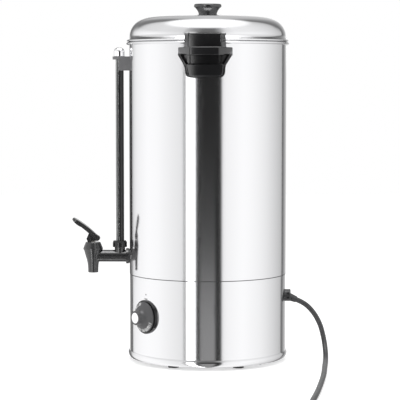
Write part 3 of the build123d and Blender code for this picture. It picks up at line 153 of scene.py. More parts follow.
GROUPS = {
    "urn_studio": StudioSettings,
    "urn_steel": SteelSettings,
    "urn_plastic": PlasticSettings,
    "urn_cord": CordSettings,
    "urn_dial": DialSettings,
}


# -------------------------------------------------------- nodes and mesh
def add_node(tree, kind, inputs=None, **settings):
    """One node, with its settings, and each input linked or set."""
    node = tree.nodes.new(kind)
    for key, value in settings.items():
        setattr(node, key, value)
    for key, value in (inputs or {}).items():
        if isinstance(value, bpy.types.NodeSocket):
            tree.links.new(value, node.inputs[key])
        else:
            node.inputs[key].default_value = value
    return node


def ramp(tree, factor, stops):
    """A colour ramp of grey values: pairs of place and value."""
    node = add_node(tree, "ShaderNodeValToRGB", {"Fac": factor})
    elements = node.color_ramp.elements
    while len(elements) < len(stops):
        elements.new(0.5)
    for element, (place, value) in zip(elements, stops):
        element.position = place
        element.color = (value, value, value, 1)
    return node.outputs["Color"]


def new_finish(name):
    """A material with its Principled shader, and the piece's own coordinates."""
    material = bpy.data.materials.new(name)
    material.use_nodes = True
    tree = material.node_tree
    place = add_node(tree, "ShaderNodeTexCoord").outputs["Object"]
    return material, tree, tree.nodes["Principled BSDF"], place


def noise(tree, place, scale, stretch=(1, 1, 1), detail=3.0):
    """Noise in the piece's own coordinates, stretched along its axes."""
    mapping = add_node(tree, "ShaderNodeMapping", {"Vector": place, "Scale": stretch})
    return add_node(
        tree, "ShaderNodeTexNoise", {"Vector": mapping.outputs["Vector"], "Scale": scale, "Detail": detail}
    ).outputs["Fac"]


def between(tree, factor, low, high):
    """A number that follows a pattern between two values. Noise lies mostly from 0.3 to 0.7."""
    limits = {"From Min": 0.3, "From Max": 0.7, "To Min": low, "To Max": high}
    return add_node(tree, "ShaderNodeMapRange", {"Value": factor, **limits}).outputs["Result"]


def relief(tree, shader, height, strength, distance):
    """Bump on a shader, from a height pattern."""
    bump = add_node(
        tree, "ShaderNodeBump", {"Height": height, "Strength": strength, "Distance": distance}
    )
    tree.links.new(bump.outputs["Normal"], shader.inputs["Normal"])


def set_inputs(shader, **values):
    """Fills a shader's sockets; underlines stand for spaces in their names."""
    for key, value in values.items():
        shader.inputs[key.replace("_", " ")].default_value = value


def blend(tree, factor, shade, other):
    """One colour gives way to another."""
    mixer = add_node(tree, "ShaderNodeMix", {"Factor": factor, "A": shade, "B": other}, data_type="RGBA")
    return mixer.outputs["Result"]


def tint(tree, shader, pattern, low, high):
    """A base colour that follows a pattern between two colours."""
    tree.links.new(blend(tree, pattern, (*low, 1), (*high, 1)), shader.inputs["Base Color"])


def polish(tree, shader, pattern, low, high):
    """A roughness that follows a pattern between two values."""
    tree.links.new(between(tree, pattern, low, high), shader.inputs["Roughness"])


# ------------------------------------------------------------- finishes
def moulding(name, cloud, colours, roughness, grain, strength, depth):
    """Plastic or rubber: a clouded colour and shine under a fine grain.

    Cloud and grain are scales of noise, and depth is the grain's, in millimetres.
    """
    material, tree, shader, place = new_finish(name)
    clouds = noise(tree, place, cloud)
    tint(tree, shader, clouds, *colours)
    polish(tree, shader, clouds, *roughness)
    relief(tree, shader, noise(tree, place, grain, detail=1.0), strength, depth * mm)
    return material


def polished_steel():
    """Mirror polish with faint buffing lines round the urn, deeper and shallower in slow waves."""
    steel = bpy.context.scene.urn_steel
    material, tree, shader, place = new_finish("polished_steel")
    set_inputs(shader, Base_Color=(*steel.colour, 1), Metallic=1.0)
    smears = noise(tree, place, 9, (1, 1, 0.6))
    polish(tree, shader, smears, steel.roughness * 0.7, steel.roughness * 1.5)
    buffing = noise(tree, place, 60, (1, 1, 28), 2.0)
    ripple = noise(tree, place, 7, (1, 1, 0.35), 0.0)
    waves = {0: ripple, 1: buffing, 2: buffing}
    height = add_node(tree, "ShaderNodeMath", waves, operation="MULTIPLY_ADD").outputs["Value"]
    relief(tree, shader, height, steel.ripple, 0.2 * mm)
    return material


def plain_steel():
    """Mill finish sheet: satin, with rolling lines."""
    material, tree, shader, place = new_finish("plain_steel")
    set_inputs(shader, Base_Color=(0.62, 0.62, 0.63, 1), Metallic=1.0)
    lines = noise(tree, place, 90, (0.1, 1, 1), 4.0)
    polish(tree, shader, lines, 0.26, 0.42)
    relief(tree, shader, lines, 0.12, 0.1 * mm)
    return material


def black_moulding():
    """Black heat-resistant plastic with a fine spark-eroded grain."""
    plastic = bpy.context.scene.urn_plastic
    colours = [[share * part for part in plastic.colour] for share in (0.9, 1.15)]
    roughness = [share * plastic.roughness for share in (0.85, 1.2)]
    return moulding("black_moulding", 35, colours, roughness, 1800, 0.10, 0.05)


def tap_moulding():
    """Black plastic of the tap and the lid's knob: glossier than the handles', with a fine grain."""
    colours = (0.016, 0.016, 0.017), (0.022, 0.022, 0.023)
    material = moulding("tap_moulding", 55, colours, (0.18, 0.24), 1700, 0.1, 0.05)
    set_inputs(material.node_tree.nodes["Principled BSDF"], Specular_IOR_Level=1.0)
    return material


def dial_moulding():
    """Satin black plastic of the dial."""
    colours = (0.075, 0.075, 0.078), (0.100, 0.100, 0.103)
    return moulding("dial_moulding", 60, colours, (0.36, 0.48), 2200, 0.12, 0.04)


def grey_moulding():
    """Dark grey plastic of the gauge's bracket."""
    colours = (0.15, 0.15, 0.155), (0.19, 0.19, 0.195)
    return moulding("grey_moulding", 70, colours, (0.3, 0.42), 1900, 0.1, 0.05)


def ivory_plastic():
    """Off-white engineering plastic of the inner parts."""
    colours = (0.72, 0.70, 0.65), (0.80, 0.79, 0.75)
    return moulding("ivory_plastic", 90, colours, (0.35, 0.5), 1600, 0.1, 0.04)


def black_rubber():
    """Matte rubber of the feet and seals, a little dusty."""
    colours = (0.030, 0.030, 0.032), (0.055, 0.055, 0.057)
    return moulding("black_rubber", 120, colours, (0.42, 0.6), 1500, 0.15, 0.05)


def cord_sheath():
    """Dark grey flexible sheath, satin, with a fine grain."""
    colours = (0.044, 0.044, 0.046), (0.066, 0.066, 0.068)
    return moulding("cord_sheath", 160, colours, (0.34, 0.46), 1200, 0.12, 0.04)


def bright_plate():
    """Chromium plate with a faint orange-peel unevenness."""
    material, tree, shader, place = new_finish("bright_plate")
    set_inputs(shader, Base_Color=(0.92, 0.92, 0.93, 1), Metallic=1.0)
    peel = noise(tree, place, 220, detail=1.0)
    polish(tree, shader, peel, 0.03, 0.09)
    relief(tree, shader, peel, 0.05, 0.05 * mm)
    return material


def clear_glass():
    """Smoke-tinted borosilicate tube with a faint limescale haze."""
    material, tree, shader, place = new_finish("clear_glass")
    set_inputs(shader, Base_Color=(0.42, 0.43, 0.43, 1), IOR=1.47, Transmission_Weight=1.0)
    haze = noise(tree, place, 12, (1, 1, 0.3), 1.0)
    polish(tree, shader, haze, 0.0, 0.03)
    return material


def pale_silicone():
    """Translucent off-white seal rubber."""
    material, tree, shader, place = new_finish("pale_silicone")
    set_inputs(shader, Subsurface_Weight=0.2, Subsurface_Scale=2 * mm)
    cloud = noise(tree, place, 80)
    tint(tree, shader, cloud, (0.66, 0.64, 0.60), (0.78, 0.76, 0.72))
    polish(tree, shader, cloud, 0.42, 0.6)
    return material


def turned_metal(name, colour, low, high):
    """Machined metal with fine tool marks."""
    material, tree, shader, place = new_finish(name)
    set_inputs(shader, Base_Color=(*colour, 1), Metallic=1.0)
    marks = noise(tree, place, 400, (1, 1, 3), 2.0)
    polish(tree, shader, marks, low, high)
    relief(tree, shader, marks, 0.15, 0.05 * mm)
    return material


def screw_steel():
    """Stainless screws, pins, nuts and springs."""
    return turned_metal("screw_steel", (0.62, 0.62, 0.64), 0.2, 0.34)


def plated_brass():
    """Nickel-plated brass of pins and terminals."""
    return turned_metal("plated_brass", (0.78, 0.74, 0.62), 0.16, 0.28)


def dark_pin():
    """Blackened steel of the lever's pins."""
    return turned_metal("dark_pin", (0.05, 0.05, 0.052), 0.3, 0.42)


def cast_aluminium():
    """Cast heating plate with a sandy skin."""
    return turned_metal("cast_aluminium", (0.68, 0.68, 0.69), 0.45, 0.6)


def annealed_sheath():
    """Heat-tinted steel sheath of the element and of the sensing tubes."""
    material, tree, shader, place = new_finish("annealed_sheath")
    heat = noise(tree, place, 25)
    tint(tree, shader, heat, (0.40, 0.38, 0.36), (0.52, 0.46, 0.38))
    set_inputs(shader, Metallic=1.0)
    polish(tree, shader, heat, 0.3, 0.5)
    return material


def print_ink(name, value):
    """One grey, a little uneven: ink of the dial's numbers, and the grey of the marks above the dial."""
    material, tree, shader, place = new_finish(name)
    tint(tree, shader, noise(tree, place, 900), (0.88 * value,) * 3, (1.08 * value,) * 3)
    set_inputs(shader, Roughness=0.5)
    return material


def white_print():
    """White ink of the dial's numbers."""
    return print_ink("white_print", 0.8)


def pale_grey_mark():
    """Pale grey of the bar above the dial."""
    return print_ink("pale_grey_mark", 0.5)


def dark_grey_mark():
    """Dark grey of the dot above the dial."""
    return print_ink("dark_grey_mark", 0.12)


def finish(maker):
    """The material that a maker function builds, built once."""
    return bpy.data.materials.get(maker.__name__) or maker()


def dress(maker, *nodes):
    """Gives finished solids of the frame their material."""
    for name in nodes:
        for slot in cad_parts[name].material_slots:
            slot.material = finish(maker)


# ------------------------------------------------------------- surfaces
def grid_faces(rows, columns, close_rows, close_columns):
    """Quads over a grid of points, joined round where a direction closes."""
    index = np.arange(rows * columns).reshape(rows, columns)
    if close_rows:
        index = np.vstack([index, index[:1]])
    if close_columns:
        index = np.hstack([index, index[:, :1]])
    corners = index[:-1, :-1], index[1:, :-1], index[1:, 1:], index[:-1, 1:]
    return np.stack(corners, axis=-1).reshape(-1, 4)


def mesh_piece(name, points, faces, maker, body, slot):
    """A closed mesh piece with its material, which rides on a body and keeps its place in its points.

    Points that fall together at a pole become one, so a quad there is a triangle. The faces are
    turned about where the volume that they enclose, a sum of triple products, comes out negative.
    """
    points = np.asarray(points, float).reshape(-1, 3).round(8)
    points, index = np.unique(points, axis=0, return_inverse=True)
    faces = index.reshape(-1)[np.asarray(faces)]
    first, second, third = (points[faces[:, corner]] for corner in (0, 1, 2))
    fourth = points[faces[:, -1]]
    volume = np.sum(first * np.cross(second, third)) + np.sum(first * np.cross(third, fourth))
    if volume < 0:
        faces = faces[:, ::-1]
    repeated = faces == np.roll(faces, -1, axis=1)
    pole = repeated.any(axis=1)
    triangles = faces[pole][~repeated[pole]].reshape(-1, faces.shape[1] - 1)
    mesh = bpy.data.meshes.new(name)
    mesh.from_pydata(points, [], faces[~pole].tolist() + triangles.tolist())
    mesh.polygons.foreach_set("use_smooth", np.ones(len(mesh.polygons), bool))
    mesh.materials.append(finish(maker))
    mesh.update()
    piece = bpy.data.objects.new(name, mesh)
    bpy.context.scene.collection.objects.link(piece)
    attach(piece, body)
    return piece


def rounded(corners, bends, count):
    """A line through corners with an arc at each inner one.

    Each arc touches both runs at bend / tan(half the corner's angle) from it. Its middle lies on
    the corner's bisector, and its points go round that middle at equal steps.
    """
    corners = np.asarray(corners, float)
    before = corners[:-2] - corners[1:-1]
    after = corners[2:] - corners[1:-1]
    before /= np.linalg.norm(before, axis=1, keepdims=True)
    after /= np.linalg.norm(after, axis=1, keepdims=True)
    bends = np.asarray(bends, float)[:, None]
    half = np.arccos(np.sum(before * after, axis=1, keepdims=True)) / 2
    along = before + after
    middle = corners[1:-1] + along / np.linalg.norm(along, axis=1, keepdims=True) * bends / np.sin(half)
    first = corners[1:-1] + before * bends / np.tan(half) - middle
    last = corners[1:-1] + after * bends / np.tan(half) - middle
    start = np.arctan2(first[:, 1], first[:, 0])
    sweep = (np.arctan2(last[:, 1], last[:, 0]) - start + pi) % (2 * pi) - pi
    angle = start[:, None] + sweep[:, None] * np.linspace(0, 1, count)
    arcs = middle[:, None] + bends[:, None] * np.stack([np.cos(angle), np.sin(angle)], axis=-1)
    return np.vstack([corners[:1], arcs.reshape(-1, 2), corners[-1:]])


def turned(profile, origin, axis, across, count):
    """A surface of revolution: each profile point's radius is laid round the axis at its height.

    Point = origin + height * axis + radius * (cos(turn) * across + sin(turn) * side).
    """
    profile = np.asarray(profile, float)
    axis = np.asarray(axis, float)
    across = np.asarray(across, float)
    side = np.cross(axis, across)
    turn = np.linspace(0, 2 * pi, count, endpoint=False)
    ring = np.cos(turn)[:, None] * across + np.sin(turn)[:, None] * side
    return np.asarray(origin, float) + profile[:, None, 1:2] * axis + profile[:, None, 0:1] * ring[None]


def wound(origin, radius, wire, pitch, length, count, sides):
    """A coil spring's wire: a ring of points that follows a helix up from the origin.

    Centre = origin + (radius cos t, radius sin t, pitch t / 2 pi). With the outward direction n
    and the wire's own direction d, point = centre + wire / 2 * (cos(a) n + sin(a) d x n). The
    ring shrinks to the centre at both ends.
    """
    turn = np.linspace(0, 2 * pi * length / pitch, count)
    out = np.stack([np.cos(turn), np.sin(turn), 0 * turn], axis=-1)
    centre = np.asarray(origin, float) + radius * out
    centre[:, 2] += pitch * turn / (2 * pi)
    rise = pitch / (2 * pi)
    along = np.stack([-radius * np.sin(turn), radius * np.cos(turn), rise + 0 * turn], axis=-1)
    along /= np.linalg.norm(along, axis=1, keepdims=True)
    side = np.cross(along, out)
    angle = np.linspace(0, 2 * pi, sides, endpoint=False)[None, :, None]
    ring = np.cos(angle) * out[:, None] + np.sin(angle) * side[:, None]
    ends = np.ones(count)
    ends[[0, -1]] = 0
    return centre[:, None] + wire / 2 * ring * ends[:, None, None]


def settle(piece, source, reach):
    """Applies a piece's rounding, and draws in the few points that it throws out.

    Each point belongs near a corner c of the solid. Where the least |point - c| is over the
    reach, the point goes to that corner. |p - c|^2 = p.p + c.c - 2 p.c, for all pairs at once.
    """
    bpy.context.view_layer.update()
    rounded_copy = piece.evaluated_get(bpy.context.evaluated_depsgraph_get())
    mesh = bpy.data.meshes.new_from_object(rounded_copy)
    points = np.empty(3 * len(mesh.vertices))
    corners = np.empty(3 * len(source.vertices))
    mesh.vertices.foreach_get("co", points)
    source.vertices.foreach_get("co", corners)
    points, corners = points.reshape(-1, 3), np.unique(corners.reshape(-1, 3), axis=0)
    apart = np.sum(points**2, axis=1)[:, None] + np.sum(corners**2, axis=1) - 2 * points @ corners.T
    nearest = apart.argmin(axis=1)
    thrown = apart.min(axis=1) > reach**2
    points[thrown] = corners[nearest[thrown]]
    mesh.vertices.foreach_set("co", points.ravel())
    mesh.update()
    piece.modifiers.clear()
    piece.data = mesh


def softened(name, maker, body, width):
    """A finished solid with its edges rounded, in place of the solid.

    The solid's loose triangles are copied and merged where they meet, flat runs of them become
    one face, and each edge sharper than 35 degrees is rounded over the given width. A point
    that this leaves more than 1.6 widths from every corner of the solid is drawn in.
    """
    sharp, flat = radians(35), radians(0.4)
    same_place = 1e-6
    reach = 1.6 * width
    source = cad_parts[name].data
    mesh = source.copy()
    mesh.name = name + "_soft"
    shape = bmesh.new()
    shape.from_mesh(mesh)
    bmesh.ops.remove_doubles(shape, verts=shape.verts, dist=same_place)
    bmesh.ops.dissolve_limit(shape, angle_limit=flat, verts=shape.verts, edges=shape.edges)
    shape.to_mesh(mesh)
    shape.free()
    mesh.materials.clear()
    mesh.materials.append(finish(maker))
    piece = bpy.data.objects.new(name + "_soft", mesh)
    bpy.context.scene.collection.objects.link(piece)
    if "custom_normal" in mesh.attributes:
        mesh.attributes.remove(mesh.attributes["custom_normal"])
    mesh.set_sharp_from_angle(angle=sharp)
    rounding = piece.modifiers.new("edges", "BEVEL")
    rounding.limit_method = "ANGLE"
    rounding.angle_limit = sharp
    rounding.width = width
    rounding.segments = 3
    rounding.use_clamp_overlap = False
    rounding.harden_normals = True
    settle(piece, source, reach)
    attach(piece, body)
    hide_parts(name)


# ---------------------------------------------------------------- studio
def look_from(angle, height, distance):
    """A point round the urn's axis, in metres."""
    return Vector((distance * cos(angle), distance * sin(angle), height))


class URN_OT_studio(bpy.types.Operator):
    """Set up the table, the lamp, the mirrored surroundings and the camera"""

    bl_idname = "urn.studio"
    bl_label = "Studio"

    # What stands round the urn at each angle, in degrees from the camera: white panels,
    # with a dark gap for the camera and dark edges at the back.
    walls = (
        (-180, 0.20), (-166, 0.06), (-157, 0.13), (-150.4, 0.22), (-145, 0.36), (-140.5, 0.60),
        (-128, 0.78), (-98, 0.90), (-78, 0.88), (-60, 0.81), (-38, 0.72), (-35.8, 0.68),
        (-34.8, 0.22), (-32.4, 0.22), (-31.2, 0.92), (-17.6, 0.92), (-17.0, 0.012), (19.8, 0.012),
        (20.6, 0.76), (27, 0.82), (52, 0.90), (68, 0.87), (84, 0.80), (98, 0.72), (112, 0.62),
        (128, 0.51), (139.6, 0.44), (141.0, 0.06), (144, 0.12), (154, 0.31), (162, 0.43),
        (180, 0.60),
    )
    # The same walls near the table, for mirrored rays that fall steeply.
    low_walls = (
        (-180, 0.20), (-153, 0.14), (-147.5, 0.06), (-145, 0.66), (-135, 0.78), (-118, 0.87),
        (-98, 0.90), (-78, 0.88), (-60, 0.81), (-38, 0.72), (-35.8, 0.68), (-34.8, 0.22),
        (-32.4, 0.22), (-31.2, 0.92), (-18.2, 0.92), (-17.6, 0.01), (-11.8, 0.01), (-10.8, 0.235),
        (10.4, 0.245), (11.6, 0.03), (19.8, 0.02), (20.6, 0.76), (30, 0.84), (52, 0.90),
        (84, 0.80), (112, 0.62), (137, 0.44), (139.5, 0.05), (143, 0.16), (149, 0.26),
        (160, 0.45), (180, 0.60),
    )
    # The same walls high up, which the lid and other slopes mirror.
    high_walls = (
        (-180, 0.48), (-169, 0.43), (-160, 0.22), (-148, 0.16), (-140, 0.16), (-134, 0.34),
        (-128, 0.55), (-115, 0.64), (-72, 0.68), (-38, 0.62), (-31, 0.42), (-22, 0.26),
        (-14, 0.19), (-8, 0.13), (10, 0.13), (19, 0.30), (28, 0.66), (42, 0.77), (70, 0.75),
        (92, 0.68), (112, 0.60), (128, 0.48), (135, 0.22), (141, 0.13), (152, 0.22), (161, 0.30),
        (169, 0.44), (180, 0.48),
    )

    # The strip light and the pale glow behind the urn, by angle.
    strip = ((-29.6, 0.0), (-29.0, 1.0), (-20.2, 1.0), (-19.4, 0.0))
    behind = ((-172, 1.0), (-160, 0.0), (160, 0.0), (172, 1.0))
    # How much of the high walls and of the glow shows, by the upward part of the direction. The
    # low walls' share goes by its fall, which runs from 0 to 1 between the two fall_ends.
    fall_ends = (-0.03, -0.135)
    under = ((0.0, 0.0), (0.35, 0.10), (0.70, 0.13), (0.92, 0.18), (0.935, 1.0))
    above = ((0.0, 0.0), (0.175, 0.0), (0.40, 1.0))
    horizon = ((0.0, 0.0), (0.008, 1.0), (0.12, 1.0), (0.26, 0.0))
    # Where the strip fades at its top, and where the ceiling starts, which comes down a little
    # lower on the camera's side.
    strip_ends = (0.24, 0.18)
    ceiling_ends = (0.74, 0.86)
    ceiling_lean = 0.12
    glow_grey = (0.86, 0.86, 0.86, 1)
    ceiling_grey = (0.95, 0.95, 0.95, 1)

    # The lamp overhead, and the point that it is aimed at.
    lamp_size = (1.4, 1.2)
    lamp_place = (0.35, 0, 2.1)
    lamp_aim = (0, 0, 0.3)
    # The table starts to glow between these two radii, so the urn's shadow stays under it. Its
    # rings are shares of its radius, and its top lies a little under the feet.
    glow_ends = (0.090, 0.104)
    table_rings = (0.0, 0.3, 1.0)
    table_sides = 128
    table_drop = 0.1 * mm

    def execute(self, context):
        studio = context.scene.urn_studio
        self.camera(context, studio)
        self.floor(studio)
        self.lamps(context, studio)
        self.surroundings(context, studio)
        context.scene.view_settings.view_transform = "Standard"
        return {"FINISHED"}

    def spread(self, tree, value, low, high):
        """A value's place between two others, smoothed at both ends."""
        return add_node(
            tree,
            "ShaderNodeMapRange",
            {"Value": value, "From Min": low, "From Max": high},
            interpolation_type="SMOOTHSTEP",
        ).outputs["Result"]

    def times(self, tree, value, factor):
        """The product of two values."""
        return add_node(tree, "ShaderNodeMath", {0: value, 1: factor}, operation="MULTIPLY").outputs["Value"]

    def by_angle(self, tree, share, stops):
        """A grey ramp over the whole turn, its stops given in degrees from the camera."""
        return ramp(tree, share, [(0.5 + angle / 360, value) for angle, value in stops])

    def camera(self, context, studio):
        """The camera looks at a point beside the axis."""
        camera = bpy.data.objects.new("camera", bpy.data.cameras.new("camera"))
        context.scene.collection.objects.link(camera)
        camera.location = look_from(studio.camera_turn, studio.camera_height, studio.camera_distance)
        left = Vector((sin(studio.camera_turn), -cos(studio.camera_turn), 0))
        aim = left * studio.aim_side + Vector((0, 0, studio.aim_height))
        camera.rotation_euler = (aim - camera.location).to_track_quat("-Z", "Y").to_euler()
        camera.data.lens = studio.lens
        camera.data.clip_end = 50
        context.scene.camera = camera

    def floor(self, studio):
        """A round table top, white to the eye, that keeps the urn's soft shadow."""
        material, tree, shader, place = new_finish("table_top")
        grain = noise(tree, place, 40)
        tint(tree, shader, grain, (0.78, 0.78, 0.78), (0.80, 0.80, 0.80))
        set_inputs(shader, Roughness=1.0, Specular_IOR_Level=0.0, Emission_Color=(1, 1, 1, 1))
        eye = add_node(tree, "ShaderNodeLightPath").outputs["Is Camera Ray"]
        reach = add_node(tree, "ShaderNodeVectorMath", {0: place}, operation="LENGTH").outputs["Value"]
        clear = self.spread(tree, reach, *self.glow_ends)
        glow = self.times(tree, self.times(tree, eye, studio.floor_glow), clear)
        tree.links.new(glow, shader.inputs["Emission Strength"])
        turn = np.linspace(0, 2 * pi, self.table_sides, endpoint=False)
        radius = np.array(self.table_rings)[:, None] * studio.floor_radius
        level = np.full((len(self.table_rings), self.table_sides), -self.table_drop)
        points = np.stack([radius * np.cos(turn), radius * np.sin(turn), level], axis=-1)
        faces = grid_faces(len(self.table_rings), self.table_sides, False, True)[:, ::-1]
        mesh = bpy.data.meshes.new("table_top")
        mesh.from_pydata(points.reshape(-1, 3), [], faces.tolist())
        mesh.materials.append(material)
        floor = bpy.data.objects.new("table_top", mesh)
        bpy.context.scene.collection.objects.link(floor)
        floor.visible_glossy = False
        floor.visible_transmission = False

    def lamps(self, context, studio):
        """One large soft lamp overhead, a little in front of the urn."""
        lamp = bpy.data.lights.new("overhead", "AREA")
        lamp.shape = "RECTANGLE"
        lamp.size, lamp.size_y = self.lamp_size
        lamp.energy = studio.key_power
        overhead = bpy.data.objects.new("overhead", lamp)
        context.scene.collection.objects.link(overhead)
        overhead.location = self.lamp_place
        ray = Vector(self.lamp_aim) - overhead.location
        overhead.rotation_euler = ray.to_track_quat("-Z", "Y").to_euler()

    def surroundings(self, context, studio):
        """White to the eye. Reflections and glass show the walls, and the rest gets soft light."""
        world = bpy.data.worlds.new("studio")
        world.use_nodes = True
        context.scene.world = world
        tree = world.node_tree
        tree.nodes.clear()
        path = add_node(tree, "ShaderNodeLightPath")
        shown = add_node(
            tree,
            "ShaderNodeMath",
            {0: path.outputs["Is Glossy Ray"], 1: path.outputs["Is Transmission Ray"]},
            operation="MAXIMUM",
        ).outputs["Value"]
        mirrored, strength = self.mirrored(tree, studio)
        around = add_node(tree, "ShaderNodeBackground", {"Color": mirrored, "Strength": strength})
        soft = add_node(tree, "ShaderNodeBackground", {"Color": (1, 1, 1, 1), "Strength": studio.ambient})
        white = add_node(tree, "ShaderNodeBackground", {"Color": (1, 1, 1, 1), "Strength": 1.0})
        unseen = add_node(tree, "ShaderNodeMixShader", {0: shown, 1: soft.outputs[0], 2: around.outputs[0]})
        seen = add_node(
            tree,
            "ShaderNodeMixShader",
            {0: path.outputs["Is Camera Ray"], 1: unseen.outputs[0], 2: white.outputs[0]},
        )
        add_node(tree, "ShaderNodeOutputWorld", {"Surface": seen.outputs[0]})

    def mirrored(self, tree, studio):
        """The walls' shade and brightness in each direction."""
        way = add_node(tree, "ShaderNodeTexCoord").outputs["Generated"]
        parts = add_node(tree, "ShaderNodeSeparateXYZ", {0: way})
        rise = parts.outputs["Z"]
        turn = add_node(
            tree, "ShaderNodeMath", {0: parts.outputs["Y"], 1: parts.outputs["X"]}, operation="ARCTAN2"
        ).outputs["Value"]
        whole_turn = {
            "From Min": -pi + studio.camera_turn,
            "From Max": pi + studio.camera_turn,
            "To Min": 0.0,
            "To Max": 1.0,
        }
        share = add_node(tree, "ShaderNodeMapRange", {"Value": turn, **whole_turn}).outputs["Result"]
        walls, low, high = (
            self.by_angle(tree, share, stops) for stops in (self.walls, self.low_walls, self.high_walls)
        )
        under = ramp(tree, self.spread(tree, rise, *self.fall_ends), self.under)
        glow = self.times(tree, self.by_angle(tree, share, self.behind), ramp(tree, rise, self.horizon))
        leaning = add_node(
            tree,
            "ShaderNodeMath",
            {0: parts.outputs["X"], 1: self.ceiling_lean, 2: rise},
            operation="MULTIPLY_ADD",
        ).outputs["Value"]
        ceiling = self.spread(tree, leaning, *self.ceiling_ends)
        shade = blend(tree, under, walls, low)
        shade = blend(tree, ramp(tree, rise, self.above), shade, high)
        shade = blend(tree, glow, shade, self.glow_grey)
        shade = blend(tree, ceiling, shade, self.ceiling_grey)
        lit = self.times(
            tree, self.by_angle(tree, share, self.strip), self.spread(tree, rise, *self.strip_ends)
        )
        strength = add_node(
            tree, "ShaderNodeMapRange", {"Value": lit, "To Min": studio.panel, "To Max": studio.strip}
        ).outputs["Result"]
        return shade, strength


# ------------------------------------------------------------------ cord
class URN_OT_cord(bpy.types.Operator):
    """Lay the mains cord with its coil"""

    bl_idname = "urn.cord"
    bl_label = "Mains cord"

    # The route of the cord's middle line, in millimetres.
    route = [
        (0, 148.844, 100.508), (0, 162.3, 95.1), (0, 176.9, 80.8), (0, 188.8, 60.7),
        (3, 195.4, 35.8), (18.5, 198.0, 14.8), (42, 197.2, 4.2), (88, 194.4, 4.2),
        (172, 190.0, 4.2), (262, 182.0, 4.2), (352, 172.4, 4.2), (445, 159.2, 4.2),
        (533, 150.6, 4.2),
    ]
    # The run and the rise of the tail past the coil, in millimetres.
    tail = [(30, 0.6), (54, 4.6), (78, 5.9)]
    turns = 4
    # The share of a turn over which it changes to the next one's radius and height.
    change_share = 0.2

    def execute(self, context):
        settings = context.scene.urn_cord
        points = self.cord_line(settings)
        curve = bpy.data.curves.new("mains_cord", "CURVE")
        curve.dimensions = "3D"
        spline = curve.splines.new("NURBS")
        spline.points.add(len(points) - 1)
        spline.points.foreach_set("co", np.hstack([points, np.ones((len(points), 1))]).ravel())
        spline.order_u = 3
        spline.use_endpoint_u = True
        spline.resolution_u = 8
        curve.bevel_depth = settings.radius
        curve.bevel_resolution = 5
        curve.use_fill_caps = True
        curve.materials.append(finish(cord_sheath))
        cord = bpy.data.objects.new("mains_cord", curve)
        # The polished base doesn't mirror the cord.
        cord.visible_glossy = False
        context.scene.collection.objects.link(cord)
        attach(cord, "root")
        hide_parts("power_cord", "cord_coil", "cord_tail")
        dress(cord_sheath, "plug_body", "cord_gland")
        dress(plated_brass, "plug_pins")
        return {"FINISHED"}

    def cord_line(self, settings):
        """Control points: the route, then the coil's four turns, then the tail to the plug.

        The turns go round clockwise: outer and inner low, then inner and outer high. The radius
        and the height change over the last part of a turn.
        """
        route = np.array(self.route) * mm
        heading = route[-1] - route[-2]
        heading /= np.linalg.norm(heading)
        inward = np.array([heading[1], -heading[0], 0])
        outer = settings.coil_radius + settings.radius
        middle = route[-1] + inward * outer
        count = settings.turn_points
        step = np.arange(1, self.turns * count)
        angle = atan2(-inward[1], -inward[0]) - 2 * pi * step / count
        whole, part = np.divmod(step / count, 1)
        change = np.clip((part - (1 - self.change_share)) / self.change_share, 0, 1)
        radii = np.array([1, -1, -1, 1, 1]) * settings.radius + settings.coil_radius
        levels = np.array([1, 1, 3, 3, 3]) * settings.radius
        turn = whole.astype(int)
        radius = radii[turn] * (1 - change) + radii[turn + 1] * change
        level = levels[turn] * (1 - change) + levels[turn + 1] * change
        radius /= cos(pi / count)
        coil = np.stack(
            [middle[0] + radius * np.cos(angle), middle[1] + radius * np.sin(angle), level], axis=-1
        )
        end = route[-1] + np.array([0, 0, 2 * settings.radius])
        rises = np.array([end + heading * run * mm + np.array([0, 0, rise * mm]) for run, rise in self.tail])
        return np.vstack([route, coil, end[None], rises])


# ------------------------------------------------------------------ urn
class URN_OT_body(bpy.types.Operator):
    """Finish the tank, the base, the feet and what they hold"""

    bl_idname = "urn.body"
    bl_label = "Tank and base"

    # Black ring painting the shadow in the real seam's gap: its corners' radius and height, in millimetres.
    joint = ((130.1, 144.8), (130.7, 144.8), (130.7, 146.0), (130.1, 146.0))
    sides = 256

    def execute(self, context):
        dress(polished_steel, "tank_shell", "base_shell", "base_ring")
        dress(plain_steel, "tank_floor", "bottom_plate", "bulb_clips")
        dress(screw_steel, "base_screws", "base_nuts", "foot_screws", "foot_nuts", "thermostat_screws")
        dress(black_rubber, "feet")
        dress(pale_silicone, "seal_washers")
        dress(cast_aluminium, "heater_plate")
        dress(annealed_sheath, "heater_element", "sensor_bulb", "cutout_sensor")
        dress(ivory_plastic, "thermostat_body", "cutout_body", "reset_button", "terminal_block")
        dress(plated_brass, "terminal_screws", "earth_stud")
        dress(black_moulding, "gland_nut")
        # A thin black ring in the seam between tank and base, which paints the shadow in its gap.
        joint = turned(np.array(self.joint) * mm, (0, 0, 0), (0, 0, 1), (1, 0, 0), self.sides)
        faces = grid_faces(len(self.joint), self.sides, True, True)
        mesh_piece("seam_shadow_ring", joint, faces, black_rubber, "root", "foot_rubber")
        return {"FINISHED"}


